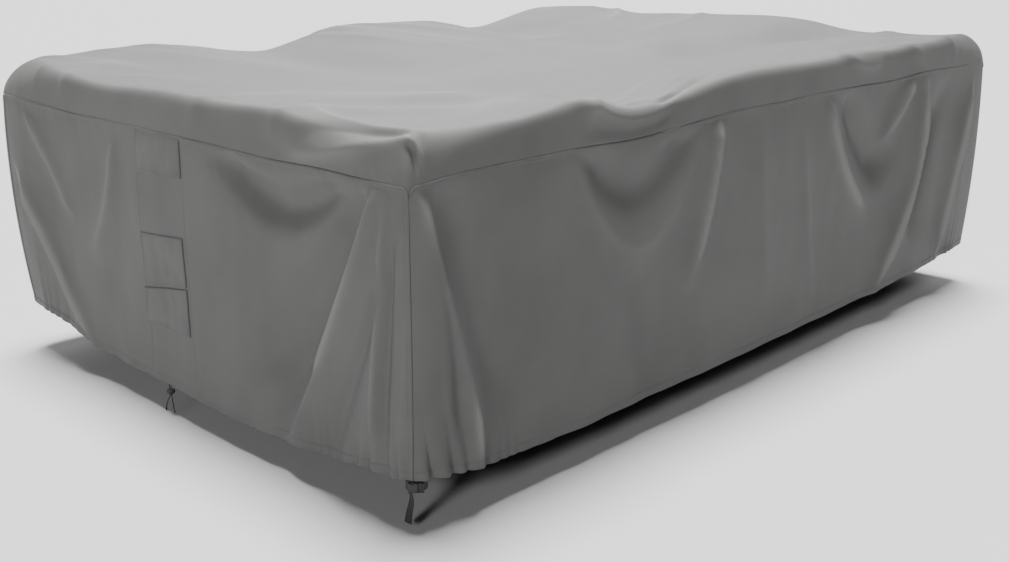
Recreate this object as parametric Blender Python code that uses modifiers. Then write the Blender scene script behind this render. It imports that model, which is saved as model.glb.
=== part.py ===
"""Fitted patio furniture cover: a coated polyester box of five panels that hangs over a dining set.

Metres, +Z up, +X along the cover. The origin is where the furniture's top meets the underside of the cover,
under its middle. The top panel rolls over the furniture's edge and is sewn to four skirt panels at a felled
seam. Three vent flaps lie on the left end, a cord lock hangs at its hem, and a webbing strap with a
side-release buckle hangs at the front left corner.
"""

import math
from collections import namedtuple

import bmesh
import bpy
from mathutils import Vector
from mathutils.bvhtree import BVHTree

# Driving sizes
LENGTH = 2.82  # plan of the cover at the seam, along X
WIDTH = 1.88  # and along Y
CLOTH = 0.002  # panel thickness with its coating
SEAM_GAP = 0.0014  # between the top and a skirt, which are sewn edge to edge
CORNER_GAP = 0.0028  # between two skirts, whose edges meet at an angle
CLEARANCE = 0.0004  # between two pieces that touch
SAG = 0.066  # of the top's middle below its edges

# The top panel rolls down over the furniture's edge
ROLL_INSET = 0.055
ROLL_CLOTH = 0.125
ROLL_CORNER_POWER = 5
CORNER_ROUNDING = 0.75
ROLL_SQUARENESS = 4.0  # added to the power of 2 of a round edge, away from the corners
ROLL_SQUARE_FROM = 0.35  # distance from a corner at which all of it is added
HALF_X = LENGTH / 2 - ROLL_INSET
HALF_Y = WIDTH / 2 - ROLL_INSET
FLAT_X = HALF_X + ROLL_CLOTH
FLAT_Y = HALF_Y + ROLL_CLOTH
CORNER_REACH = 0.30  # how far a corner's own lean runs along its panels
FOLD_FADE = 0.10  # where folds die away beside a corner seam

# Grid of the panels: more columns fall near the corners
LONG_COLUMNS = 34
END_COLUMNS = 24
SKIRT_ROWS = 11
CROWDING = 0.55

# One row per station along a side: heights above the origin, and how far the panel stands out of the plan
# at the seam, half way down and at the hem
Station = namedtuple("Station", "along crest seam hem seam_out mid_out hem_out")
FRONT_STATIONS = (
    Station(-1.41, 0.058, -0.050, -0.752, 0.000, 0.004, -0.004),
    Station(-1.25, 0.056, -0.039, -0.772, 0.002, 0.012, 0.008),
    Station(-1.08, 0.058, -0.039, -0.781, 0.004, 0.010, 0.014),
    Station(-0.83, 0.070, -0.041, -0.788, 0.002, 0.004, 0.016),
    Station(-0.60, 0.028, -0.050, -0.786, -0.006, 0.006, 0.018),
    Station(-0.18, 0.072, -0.029, -0.785, 0.004, 0.014, 0.018),
    Station(0.08, 0.073, -0.031, -0.783, 0.004, 0.012, 0.016),
    Station(0.27, 0.070, -0.028, -0.783, 0.006, 0.004, 0.012),
    Station(0.55, 0.073, -0.033, -0.782, 0.000, -0.004, 0.008),
    Station(0.79, 0.070, -0.040, -0.778, -0.006, -0.002, 0.006),
    Station(0.99, 0.071, -0.029, -0.773, 0.004, 0.012, 0.008),
    Station(1.23, 0.074, -0.036, -0.758, 0.004, 0.006, 0.004),
    Station(1.41, 0.074, -0.036, -0.746, 0.006, 0.012, 0.004),
)
LEFT_STATIONS = (
    Station(-0.94, 0.058, -0.050, -0.752, 0.000, 0.004, 0.002),
    Station(-0.77, 0.052, -0.052, -0.768, 0.000, 0.012, 0.004),
    Station(-0.62, 0.052, -0.053, -0.785, -0.004, 0.004, 0.008),
    Station(-0.41, 0.062, -0.062, -0.803, -0.010, -0.008, 0.010),
    Station(-0.14, 0.054, -0.057, -0.808, 0.000, 0.004, 0.012),
    Station(0.10, 0.056, -0.057, -0.805, 0.004, 0.010, 0.010),
    Station(0.36, 0.040, -0.060, -0.801, 0.000, 0.002, 0.008),
    Station(0.56, 0.044, -0.064, -0.789, 0.000, 0.006, 0.006),
    Station(0.74, 0.056, -0.056, -0.765, 0.010, 0.006, 0.010),
    Station(0.94, 0.060, -0.046, -0.742, 0.024, 0.036, 0.020),
)
BACK_STATIONS = (
    Station(-1.41, 0.060, -0.046, -0.742, 0.078, 0.062, 0.026),
    Station(-1.10, 0.067, -0.034, -0.772, 0.030, 0.020, 0.012),
    Station(-0.85, 0.064, -0.040, -0.786, 0.006, 0.004, 0.014),
    Station(-0.50, 0.018, -0.062, -0.790, -0.008, 0.000, 0.016),
    Station(-0.17, 0.066, -0.036, -0.781, 0.004, 0.014, 0.012),
    Station(0.22, 0.070, -0.032, -0.783, 0.006, 0.008, 0.010),
    Station(0.62, 0.026, -0.056, -0.789, -0.008, -0.004, 0.014),
    Station(1.00, 0.074, -0.028, -0.777, 0.006, 0.012, 0.008),
    Station(1.41, 0.072, -0.034, -0.746, 0.004, 0.014, 0.004),
)
RIGHT_STATIONS = (
    Station(-0.94, 0.072, -0.036, -0.746, 0.078, 0.084, 0.062),
    Station(-0.68, 0.050, -0.050, -0.776, 0.036, 0.046, 0.040),
    Station(-0.46, 0.046, -0.050, -0.792, 0.000, 0.010, 0.022),
    Station(-0.21, 0.074, -0.030, -0.796, 0.006, 0.016, 0.014),
    Station(0.10, 0.076, -0.030, -0.794, 0.006, 0.012, 0.012),
    Station(0.43, 0.058, -0.044, -0.788, -0.004, 0.000, 0.012),
    Station(0.66, 0.046, -0.052, -0.775, -0.002, 0.010, 0.006),
    Station(0.94, 0.066, -0.034, -0.746, 0.006, 0.012, 0.002),
)

# One row per fold: where it starts and ends along the panel and below its seam, how far its middle bows to
# the side, its half widths and its height out of the panel, below zero for a trough
Fold = namedtuple("Fold", "start_along start_down end_along end_down bow start_width end_width height")
FRONT_FOLDS = (
    Fold(-1.36, 0.03, -1.21, 0.72, -0.025, 0.053, 0.060, 0.026),
    Fold(-1.30, 0.03, -1.12, 0.60, 0.010, 0.060, 0.105, -0.016),
    Fold(-0.79, 0.01, -0.41, 0.02, 0.115, 0.053, 0.053, -0.029),
    Fold(-0.86, 0.03, -0.34, 0.05, 0.240, 0.075, 0.075, 0.019),
    Fold(-0.25, -0.02, -0.36, 0.40, -0.020, 0.053, 0.090, 0.022),
    Fold(0.20, 0.15, 0.30, 0.66, 0.000, 0.075, 0.075, 0.011),
    Fold(0.34, 0.04, 0.62, 0.42, 0.030, 0.045, 0.090, 0.022),
    Fold(0.46, 0.03, 0.74, 0.30, 0.020, 0.053, 0.090, -0.022),
    Fold(0.92, 0.00, 0.70, 0.20, -0.020, 0.045, 0.075, 0.019),
    Fold(0.98, 0.06, 0.75, 0.70, -0.085, 0.053, 0.068, 0.029),
    Fold(1.12, 0.10, 1.00, 0.60, 0.030, 0.060, 0.090, -0.019),
    Fold(1.35, 0.12, 1.21, 0.66, 0.000, 0.053, 0.060, 0.026),
)
LEFT_FOLDS = (
    Fold(-0.83, 0.02, -0.49, 0.68, 0.020, 0.053, 0.068, 0.026),
    Fold(-0.77, 0.06, -0.30, 0.50, 0.000, 0.060, 0.120, -0.029),
    Fold(-0.18, 0.01, -0.67, 0.01, -0.160, 0.060, 0.060, -0.022),
    Fold(-0.86, 0.14, -0.77, 0.60, 0.000, 0.027, 0.033, 0.013),
    Fold(0.34, 0.08, 0.49, 0.40, 0.020, 0.060, 0.075, 0.016),
    Fold(0.83, 0.06, 0.62, 0.30, 0.000, 0.060, 0.060, 0.019),
    Fold(0.92, 0.20, 0.56, 0.70, -0.030, 0.060, 0.060, 0.029),
)
BACK_FOLDS = (
    Fold(-1.30, 0.04, -1.16, 0.70, 0.020, 0.060, 0.075, 0.026),
    Fold(-0.84, 0.02, -0.46, 0.02, 0.140, 0.060, 0.060, -0.026),
    Fold(-0.28, 0.02, -0.44, 0.56, 0.020, 0.060, 0.090, 0.022),
    Fold(0.28, 0.03, 0.50, 0.52, -0.020, 0.060, 0.090, 0.021),
    Fold(0.40, 0.01, 0.86, 0.02, 0.150, 0.060, 0.060, -0.026),
    Fold(0.96, 0.04, 0.84, 0.66, 0.040, 0.060, 0.075, 0.026),
    Fold(1.33, 0.06, 1.22, 0.70, 0.010, 0.060, 0.068, 0.022),
)
RIGHT_FOLDS = (
    Fold(-0.84, 0.06, -0.66, 0.68, 0.020, 0.053, 0.075, 0.026),
    Fold(-0.66, 0.01, -0.28, 0.02, 0.130, 0.060, 0.060, -0.022),
    Fold(-0.20, 0.04, -0.30, 0.60, 0.020, 0.060, 0.090, 0.019),
    Fold(0.18, 0.04, 0.34, 0.60, 0.010, 0.060, 0.090, 0.019),
    Fold(0.30, 0.01, 0.72, 0.02, 0.120, 0.060, 0.060, -0.021),
    Fold(0.82, 0.06, 0.70, 0.66, 0.010, 0.053, 0.075, 0.024),
)

# One row per crease of the top, in plan
Crease = namedtuple("Crease", "start_x start_y end_x end_y bow start_width end_width height")
TOP_CREASES = (
    Crease(-1.30, -0.36, -0.74, -0.74, 0.020, 0.060, 0.070, 0.014),
    Crease(-1.10, 0.84, -0.62, -0.20, 0.060, 0.080, 0.140, 0.016),
    Crease(-0.50, 0.86, -0.20, 0.10, -0.060, 0.100, 0.180, -0.013),
    Crease(-0.16, 0.86, 0.10, -0.10, 0.050, 0.060, 0.120, 0.016),
    Crease(0.62, 0.86, 0.50, 0.10, 0.030, 0.100, 0.200, -0.016),
    Crease(1.00, 0.84, 0.60, -0.10, -0.040, 0.070, 0.140, 0.014),
    Crease(-0.50, -0.86, -0.30, -0.20, 0.020, 0.120, 0.220, -0.013),
    Crease(0.80, -0.86, 0.50, -0.20, 0.030, 0.120, 0.220, -0.013),
    Crease(1.34, -0.46, 0.60, -0.20, 0.030, 0.120, 0.220, -0.016),
)

Side = namedtuple("Side", "out_x out_y stations folds")
SIDES = {
    "front": Side(0, -1, FRONT_STATIONS, FRONT_FOLDS),
    "back": Side(0, 1, BACK_STATIONS, BACK_FOLDS),
    "left": Side(-1, 0, LEFT_STATIONS, LEFT_FOLDS),
    "right": Side(1, 0, RIGHT_STATIONS, RIGHT_FOLDS),
}

# Vent strip on the left end: per flap its place and width, how far its edges lie below the seam at its back
# (+Y) and front side, and how far it stands off the panel at its top and lower edge
VENT_CENTRE_Y = 0.09
VENT_CLOTH = 0.0016
Flap = namedtuple("Flap", "name shift_y width back_top front_top back_low front_low lift_top lift_low")
FLAPS = (
    Flap("vent_flap_upper", 0.000, 0.230, 0.006, 0.006, 0.120, 0.113, 0.0040, 0.0085),
    Flap("vent_patch", 0.012, 0.230, 0.303, 0.282, 0.464, 0.424, 0.0045, 0.0045),
    Flap("vent_flap_lower", 0.014, 0.235, 0.470, 0.430, 0.574, 0.568, 0.0045, 0.0085),
)
FLAP_COLUMNS = 4
FLAP_ROWS = 3

# Cord lock, its draw cord and free ends at the left end's hem
LOCK_Y = 0.118
LOCK_RADIUS = 0.009
LOCK_LENGTH = 0.020
PLUNGER_RADIUS = 0.0065
PLUNGER_LENGTH = 0.008
LOCK_TURN = math.radians(-20)
LOCK_BELOW_HEM = 0.019
LOCK_TOP = 0.0122  # above its centre, where the draw cord enters
CORD_RADIUS = 0.0017
KNOT_RADIUS = 0.0038
CORD_STEP = 0.004
CordRow = namedtuple("CordRow", "name start_y route")
CORD_ROWS = (
    CordRow("left", 0.004, ((0.000, 0.004, -0.0125), (-0.002, 0.011, -0.026), (-0.004, 0.020, -0.043),
                            (-0.003, 0.027, -0.060))),
    CordRow("right", -0.004, ((0.000, -0.004, -0.0125), (-0.003, -0.011, -0.023), (-0.006, -0.019, -0.037),
                              (-0.005, -0.020, -0.053))),
)

# Webbing strap at the front left corner: an upright band round the leg's place, sewn up under the hem
WEB = 0.0018
WEB_WIDTH = 0.025
STRAP_RADIUS = 0.026
STRAP_INSET = 0.034
STRAP_TOP = -0.768
STRAP_SEGMENTS = 32
TAB_RISE = 0.034
TAIL_LENGTH = 0.078
BUCKLE_SIZE = (0.038, 0.009, 0.027)
BUCKLE_BEVEL = 0.0022
CORNER_TURN = math.radians(-135)  # from +X to the way the front left corner faces

BLACK = (0.012, 0.012, 0.013, 1)
GREY = (0.092, 0.0912, 0.0898, 1)


def material(name, colour, roughness):
    made = bpy.data.materials.new(name)
    made.use_nodes = True
    shader = made.node_tree.nodes["Principled BSDF"]
    shader.inputs["Base Color"].default_value = colour
    shader.inputs["Roughness"].default_value = roughness
    return made


def ease(t):
    t = min(max(t, 0.0), 1.0)
    return t * t * (3 - 2 * t)


def along_table(rows, at, column):
    """A smooth curve through one column of a table of stations (Catmull-Rom)."""
    at = min(max(at, rows[0].along), rows[-1].along)
    last = len(rows) - 1
    i = max(k for k in range(last) if rows[k].along <= at)
    near, far = rows[i], rows[i + 1]
    span = far.along - near.along
    t = (at - near.along) / span
    before, after = rows[max(i - 1, 0)], rows[min(i + 2, last)]
    start, end = getattr(near, column), getattr(far, column)
    slope_in = (end - getattr(before, column)) / (far.along - before.along) * span
    slope_out = (getattr(after, column) - start) / (after.along - near.along) * span
    return (
        start * (1 + 2 * t) * (1 - t) ** 2
        + slope_in * t * (1 - t) ** 2
        + end * t * t * (3 - 2 * t)
        - slope_out * t * t * (1 - t)
    )


def ridge(start, end, at, bow, start_width, end_width, height):
    """The height that one fold adds at a point: a soft ridge along a bowed line that fades at its ends."""
    run = (end[0] - start[0], end[1] - start[1])
    length = math.hypot(*run)
    offset = (at[0] - start[0], at[1] - start[1])
    t = (offset[0] * run[0] + offset[1] * run[1]) / length**2
    aside = (offset[1] * run[0] - offset[0] * run[1]) / length
    inside = min(max(t, 0.0), 1.0)
    aside -= bow * 4 * inside * (1 - inside)
    width = start_width + (end_width - start_width) * inside
    return height * math.exp(-((aside / width) ** 2)) * ease(t / 0.25 + 0.5) * ease((1 - t) / 0.25 + 0.5)


def turned(flat, half):
    """How far the cloth has rolled over an edge at a flat cloth coordinate, from 0 to 1."""
    return min(max(abs(flat) - half, 0.0) / ROLL_CLOTH, 1.0)


def roll_profile(turn, from_corner):
    """How far a rolled edge has reached out and fallen, from 0 to 1: round at a corner, squarer away from it."""
    power = 2 + ROLL_SQUARENESS * ease(from_corner / ROLL_SQUARE_FROM)
    out, up = math.sin(turn * math.pi / 2), math.cos(turn * math.pi / 2)
    size = (out**power + max(up, 0.0) ** power) ** (-1 / power)
    return out * size, 1 - up * size


def rolled_plan(turn_x, turn_y, from_corner):
    """How far the cloth reaches beyond the edge's crest along X and Y: a rounded corner in plan."""
    larger, smaller = max(turn_x, turn_y), min(turn_x, turn_y)
    reach = ROLL_INSET * roll_profile(larger, from_corner)[0]
    if not smaller:
        return (reach, 0.0) if turn_x > turn_y else (0.0, reach)
    angle = math.pi / 4 * smaller / larger
    reach *= 1 + (1 - CORNER_ROUNDING) * (1 / math.cos(angle) - 1)
    along, aside = reach * math.cos(angle), reach * math.sin(angle)
    return (along, aside) if turn_x > turn_y else (aside, along)


def crest_height(x, y):
    """The top surface inside its rolled edge: the four edges' heights blended, with the sag and creases."""
    reach = 0.06
    total = weights = 0.0
    for side in SIDES.values():
        if side.out_x:
            distance, along = HALF_X - side.out_x * x, y
        else:
            distance, along = HALF_Y - side.out_y * y, x
        weight = 1 / (distance + reach) ** 2
        total += weight * along_table(side.stations, along, "crest")
        weights += weight
    sag = SAG * (1 - (x / HALF_X) ** 2) * (1 - (y / HALF_Y) ** 2)
    creases = sum(
        ridge((c.start_x, c.start_y), (c.end_x, c.end_y), (x, y), c.bow, c.start_width, c.end_width, c.height)
        for c in TOP_CREASES
    )
    fade = ease((HALF_X + 0.06 - abs(x)) / 0.08) * ease((HALF_Y + 0.06 - abs(y)) / 0.08)
    return total / weights - sag + creases * fade


def top_point(flat_x, flat_y):
    """A point of the top panel from its flat cloth coordinates."""
    turn_x, turn_y = turned(flat_x, HALF_X), turned(flat_y, HALF_Y)
    inner_x = math.copysign(min(abs(flat_x), HALF_X), flat_x)
    inner_y = math.copysign(min(abs(flat_y), HALF_Y), flat_y)
    from_corner = HALF_Y - abs(inner_y) if turn_x > turn_y else HALF_X - abs(inner_x)
    over_x, over_y = rolled_plan(turn_x, turn_y, from_corner)
    x, y = inner_x + math.copysign(over_x, flat_x), inner_y + math.copysign(over_y, flat_y)
    end = SIDES["right" if flat_x > 0 else "left"]
    flank = SIDES["back" if flat_y > 0 else "front"]
    crest = crest_height(inner_x, inner_y)
    drop = 0.0
    for side, turn, along in ((end, turn_x, y), (flank, turn_y, x)):
        full = crest - along_table(side.stations, along, "seam")
        drop += (roll_profile(turn, from_corner)[1] * full) ** ROLL_CORNER_POWER
    z = crest - drop ** (1 / ROLL_CORNER_POWER)
    push_x = end.out_x * along_table(end.stations, y, "seam_out") * ease(turn_x)
    push_y = flank.out_y * along_table(flank.stations, x, "seam_out") * ease(turn_y)
    return Vector((x + push_x, y + push_y, z))


def stand_out(side, along, down):
    """How far a skirt stands out of its own seam, from its three stated values down the panel."""
    seam = along_table(side.stations, along, "seam_out")
    mid = along_table(side.stations, along, "mid_out")
    hem = along_table(side.stations, along, "hem_out")
    return seam * (1 - down) * (1 - 2 * down) + mid * 4 * down * (1 - down) + hem * down * (2 * down - 1) - seam


def skirt_point(name, flat, down, lift=0.0):
    """A point of a skirt panel: flat is the cloth coordinate along it, down runs from 0 to 1 at the hem."""
    side = SIDES[name]
    if side.out_x:
        edge = top_point(side.out_x * FLAT_X, flat)
        along, half, neighbours = edge.y, WIDTH / 2, ("front", "back")
    else:
        edge = top_point(flat, side.out_y * FLAT_Y)
        along, half, neighbours = edge.x, LENGTH / 2, ("left", "right")
    hem = along_table(side.stations, along, "hem")
    drop = (edge.z - hem) * down
    from_corner = half - abs(along)
    out = stand_out(side, along, down) + lift
    folds = sum(
        ridge((f.start_along, f.start_down), (f.end_along, f.end_down), (along, drop), f.bow,
              f.start_width, f.end_width, f.height)
        for f in side.folds
    )
    out += folds * ease(from_corner / FOLD_FADE) * ease(drop / 0.06)
    neighbour = SIDES[neighbours[0] if along < 0 else neighbours[1]]
    corner_along = math.copysign(neighbour.stations[-1].along, side.out_x + side.out_y)
    lean = stand_out(neighbour, corner_along, down) * ease(1 - from_corner / CORNER_REACH)
    return edge + Vector((
        side.out_x * out + neighbour.out_x * lean,
        side.out_y * out + neighbour.out_y * lean,
        -drop,
    ))


def crowded(t):
    """A grid coordinate from -1 to 1, moved so that more columns fall near the corners."""
    return t + CROWDING * math.sin(math.pi * t) / math.pi


def pulled_in(place, a, b, gap_a, gap_b):
    """The point of place(a, b), with the sheet's outer columns and rows drawn back by half their gap."""
    point = place(a, b)
    step = 0.02
    for along, across, value, gap in ((1, 0, a, gap_a), (0, 1, b, gap_b)):
        if gap and abs(value) > 0.9999:
            inner = place(a - along * math.copysign(step, a), b - across * math.copysign(step, b))
            point = point + (inner - point).normalized() * gap / 2
    return point


def add_object(name, mesh, finish, thickness=None):
    made = bpy.data.objects.new(name, mesh)
    mesh.materials.append(finish)
    cover.objects.link(made)
    if thickness:
        solid = made.modifiers.new("Cloth", "SOLIDIFY")
        solid.thickness = thickness
        solid.offset = 0
    return made


def add_sheet(name, columns, rows, place, finish, thickness):
    """A sheet of cloth: a grid moved by place(a, b), both from -1 to 1, and given its thickness."""
    grid = bmesh.new()
    bmesh.ops.create_grid(grid, x_segments=columns, y_segments=rows, size=1.0)
    for vertex in grid.verts:
        vertex.co = place(vertex.co.x, vertex.co.y)
    mesh = bpy.data.meshes.new(name)
    grid.to_mesh(mesh)
    grid.free()
    mesh.shade_smooth()
    return add_object(name, mesh, finish, thickness)


def add_top():
    def place(a, b):
        return top_point(crowded(a) * FLAT_X, crowded(b) * FLAT_Y)

    return add_sheet("top_panel", LONG_COLUMNS, END_COLUMNS,
                     lambda a, b: pulled_in(place, a, b, SEAM_GAP, SEAM_GAP), fabric, CLOTH)


def add_skirt(name):
    long_side = name in ("front", "back")
    flat_half = FLAT_X if long_side else FLAT_Y

    def place(a, b):
        return skirt_point(name, crowded(a) * flat_half, (1 - b) / 2)

    def drawn_back(a, b):
        return pulled_in(place, a, b, CORNER_GAP, SEAM_GAP if b > 0 else 0)

    return add_sheet("skirt_" + name, LONG_COLUMNS if long_side else END_COLUMNS, SKIRT_ROWS,
                     drawn_back, fabric, CLOTH)


def add_flap(flap, panel):
    """A flap laid on the left end panel: sewn along its top and sides, lifted along its lower edge."""
    surface = BVHTree.FromObject(panel, bpy.context.evaluated_depsgraph_get())

    def place(a, b):
        y = VENT_CENTRE_Y + flap.shift_y + a * flap.width / 2
        down = (1 - b) / 2
        top = flap.front_top + (flap.back_top - flap.front_top) * (1 + a) / 2
        low = flap.front_low + (flap.back_low - flap.front_low) * (1 + a) / 2
        drop = top + (low - top) * down
        lift = flap.lift_top + (flap.lift_low - flap.lift_top) * ease(down) * (1 - a**4)
        z = along_table(SIDES["left"].stations, y, "seam") - drop
        hit = surface.ray_cast(Vector((-LENGTH, y, z)), Vector((1, 0, 0)))[0]
        return hit + Vector((-lift, 0, 0))

    return add_sheet(flap.name, FLAP_COLUMNS, FLAP_ROWS, place, fabric, VENT_CLOTH)


def hem_point(name, flat):
    return skirt_point(name, flat, 1.0)


def add_cord_lock():
    """A turned body and plunger, hung crosswise under the hem."""
    profile = (
        (0.0, -LOCK_LENGTH / 2),
        (LOCK_RADIUS * 0.8, -LOCK_LENGTH / 2),
        (LOCK_RADIUS, -LOCK_LENGTH / 2 + LOCK_RADIUS * 0.2),
        (LOCK_RADIUS, LOCK_LENGTH / 2 - LOCK_RADIUS * 0.2),
        (LOCK_RADIUS * 0.8, LOCK_LENGTH / 2),
        (PLUNGER_RADIUS, LOCK_LENGTH / 2),
        (PLUNGER_RADIUS, LOCK_LENGTH / 2 + PLUNGER_LENGTH),
        (0.0, LOCK_LENGTH / 2 + PLUNGER_LENGTH),
    )
    outline = bmesh.new()
    points = [outline.verts.new((radius, 0, z)) for radius, z in reversed(profile)]
    for above, below in zip(points, points[1:]):
        outline.edges.new((above, below))
    mesh = bpy.data.meshes.new("cord_lock")
    outline.to_mesh(mesh)
    outline.free()
    lock = add_object("cord_lock", mesh, plastic)
    turn = lock.modifiers.new("Turned", "SCREW")
    turn.axis = "Z"
    turn.steps = turn.render_steps = 20
    turn.use_merge_vertices = True
    turn.merge_threshold = 0.00001
    lock.location = lock_centre
    lock.rotation_euler = (math.pi / 2 + LOCK_TURN, 0, 0)
    return lock


def smooth_route(points, step):
    """Points at an even step along a smooth curve through a route (Catmull-Rom)."""
    ends = [2 * points[0] - points[1]] + points + [2 * points[-1] - points[-2]]
    fine = []
    for before, start, end, after in zip(ends, ends[1:], ends[2:], ends[3:]):
        count = max(2, round((end - start).length / step))
        for k in range(count):
            t = k / count
            fine.append(0.5 * (
                2 * start + (end - before) * t + (2 * before - 5 * start + 4 * end - after) * t**2
                + (3 * start - before - 3 * end + after) * t**3
            ))
    return fine + [points[-1]]


def add_cord(name, route):
    curve = bpy.data.curves.new(name, "CURVE")
    curve.dimensions = "3D"
    curve.bevel_depth = CORD_RADIUS
    curve.bevel_resolution = 2
    curve.use_fill_caps = True
    spline = curve.splines.new("POLY")
    spline.points.add(len(route) - 1)
    for point, place in zip(spline.points, route):
        point.co = (*place, 1)
    curve.materials.append(cord)
    made = bpy.data.objects.new(name, curve)
    cover.objects.link(made)
    return made


def add_draw_cord(row):
    """The short stretch of draw cord from the hem down into the lock."""
    top = hem_point("left", LOCK_Y + row.start_y)
    bottom = lock_centre + Vector((0, row.start_y, LOCK_TOP))
    top.z -= CLEARANCE + 0.0008
    middle = (top + bottom) / 2
    return add_cord("draw_cord_" + row.name, [top, middle, bottom])


def add_free_cord(row):
    route = [lock_centre + Vector(point) for point in row.route]
    fine = smooth_route(route, CORD_STEP)
    tube = add_cord("cord_end_" + row.name, fine)
    heading = (fine[-1] - fine[-2]).normalized()
    knot = bmesh.new()
    bmesh.ops.create_uvsphere(knot, u_segments=12, v_segments=8, radius=KNOT_RADIUS)
    mesh = bpy.data.meshes.new("cord_knot_" + row.name)
    knot.to_mesh(mesh)
    knot.free()
    made = add_object("cord_knot_" + row.name, mesh, cord)
    made.location = fine[-1] + heading * (KNOT_RADIUS + CLEARANCE)
    return tube


def strap_frame():
    """The strap's place: the middle of its band, under the front left corner, faced the corner's way."""
    inset = STRAP_INSET + STRAP_RADIUS * 0.5
    return Vector((-LENGTH / 2 + inset, -WIDTH / 2 + inset, STRAP_TOP - WEB_WIDTH / 2))


def add_strap_loop():
    """An upright ring of webbing, with a tab that rises from its inner side to be sewn inside the hem."""
    band = bmesh.new()
    bmesh.ops.create_circle(band, segments=STRAP_SEGMENTS, radius=STRAP_RADIUS)
    bmesh.ops.translate(band, vec=(0, 0, -WEB_WIDTH / 2), verts=band.verts)
    risen = bmesh.ops.extrude_edge_only(band, edges=band.edges[:])["geom"]
    upper = [item for item in risen if isinstance(item, bmesh.types.BMVert)]
    bmesh.ops.translate(band, vec=(0, 0, WEB_WIDTH), verts=upper)
    behind = [
        item for item in risen
        if isinstance(item, bmesh.types.BMEdge) and sum(v.co.x for v in item.verts) / 2 < -STRAP_RADIUS * 0.9
    ]
    tab = bmesh.ops.extrude_edge_only(band, edges=behind)["geom"]
    tab_top = [item for item in tab if isinstance(item, bmesh.types.BMVert)]
    bmesh.ops.translate(band, vec=(0, 0, TAB_RISE), verts=tab_top)
    bmesh.ops.recalc_face_normals(band, faces=band.faces)
    mesh = bpy.data.meshes.new("strap_loop")
    band.to_mesh(mesh)
    band.free()
    loop = add_object("strap_loop", mesh, webbing, WEB)
    loop.location = strap_centre
    loop.rotation_euler = (0, 0, CORNER_TURN)
    return loop


def add_buckle():
    """A side-release buckle's body, standing against the outer side of the band."""
    body = bmesh.new()
    bmesh.ops.create_cube(body, size=1.0)
    bmesh.ops.scale(body, vec=(BUCKLE_SIZE[1], BUCKLE_SIZE[0], BUCKLE_SIZE[2]), verts=body.verts)
    mesh = bpy.data.meshes.new("strap_buckle")
    body.to_mesh(mesh)
    body.free()
    buckle = add_object("strap_buckle", mesh, plastic)
    bevel = buckle.modifiers.new("Rounded", "BEVEL")
    bevel.width = BUCKLE_BEVEL
    bevel.segments = 3
    outward = Vector((math.cos(CORNER_TURN), math.sin(CORNER_TURN), 0))
    buckle.location = strap_centre + outward * (STRAP_RADIUS + WEB / 2 + CLEARANCE + BUCKLE_SIZE[1] / 2)
    buckle.rotation_euler = (0, 0, CORNER_TURN)
    return buckle


def add_tail():
    """The webbing's free end, hanging edge on below the buckle with a slight curl."""
    outward = Vector((math.cos(CORNER_TURN), math.sin(CORNER_TURN), 0))
    across = Vector((-outward.y, outward.x, 0))
    top = strap_centre + outward * (STRAP_RADIUS + 0.004) - across * 0.012
    top.z -= WEB_WIDTH / 2 + BUCKLE_BEVEL + CLEARANCE

    def place(a, b):
        down = (1 - b) / 2
        turn = math.radians(20 + 25 * down)
        wide = (across * math.sin(turn) + outward * math.cos(turn)) * a * WEB_WIDTH / 2
        curl = across * -0.010 * down**2
        return top + wide + curl + Vector((0, 0, -TAIL_LENGTH * down))

    return add_sheet("strap_tail", 3, 8, place, webbing, WEB)


for old in list(bpy.data.objects):
    bpy.data.objects.remove(old)
cover = bpy.data.collections.new("patio_furniture_cover")
bpy.context.scene.collection.children.link(cover)
fabric = material("cover_fabric", GREY, 0.85)
plastic = material("black_plastic", BLACK, 0.45)
cord = material("black_cord", BLACK, 0.8)
webbing = material("black_webbing", BLACK, 0.8)

add_top()
skirts = {name: add_skirt(name) for name in SIDES}
bpy.context.view_layer.update()
for flap_row in FLAPS:
    add_flap(flap_row, skirts["left"])
lock_centre = hem_point("left", LOCK_Y) - Vector((0, 0, LOCK_BELOW_HEM))
add_cord_lock()
for cord_row in CORD_ROWS:
    add_draw_cord(cord_row)
    add_free_cord(cord_row)
strap_centre = strap_frame()
add_strap_loop()
add_buckle()
add_tail()
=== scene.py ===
"""Fitted patio furniture cover: its draped cloth, felled seams, vents, cord lock and corner strap."""

import math

import bmesh
import bpy
import numpy as np
from mathutils import Matrix, Vector


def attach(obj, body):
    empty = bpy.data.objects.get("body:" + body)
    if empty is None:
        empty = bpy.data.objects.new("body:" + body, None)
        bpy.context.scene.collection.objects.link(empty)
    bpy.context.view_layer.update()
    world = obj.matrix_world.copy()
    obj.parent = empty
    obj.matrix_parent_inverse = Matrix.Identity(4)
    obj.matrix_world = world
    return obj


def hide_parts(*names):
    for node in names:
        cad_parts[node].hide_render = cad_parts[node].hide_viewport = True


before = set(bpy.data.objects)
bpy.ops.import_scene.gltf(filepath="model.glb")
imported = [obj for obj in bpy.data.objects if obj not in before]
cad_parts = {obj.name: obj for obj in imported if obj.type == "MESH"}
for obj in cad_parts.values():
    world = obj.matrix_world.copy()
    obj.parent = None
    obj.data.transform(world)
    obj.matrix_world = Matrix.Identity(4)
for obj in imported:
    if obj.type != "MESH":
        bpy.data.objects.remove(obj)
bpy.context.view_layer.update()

# ---- Top panel ----
# One cut of solution-dyed polyester with a coated back, laid over the table and the chair backs. It sags
# between them, rolls over their edge and ends about 100 mm below it at the felled seam.
LENGTH = 2.82
WIDTH = 1.88
SAG = 0.066
ROLL_INSET = 0.055
ROLL_CLOTH = 0.125
ROLL_CORNER_POWER = 5
CORNER_ROUNDING = 0.75
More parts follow.
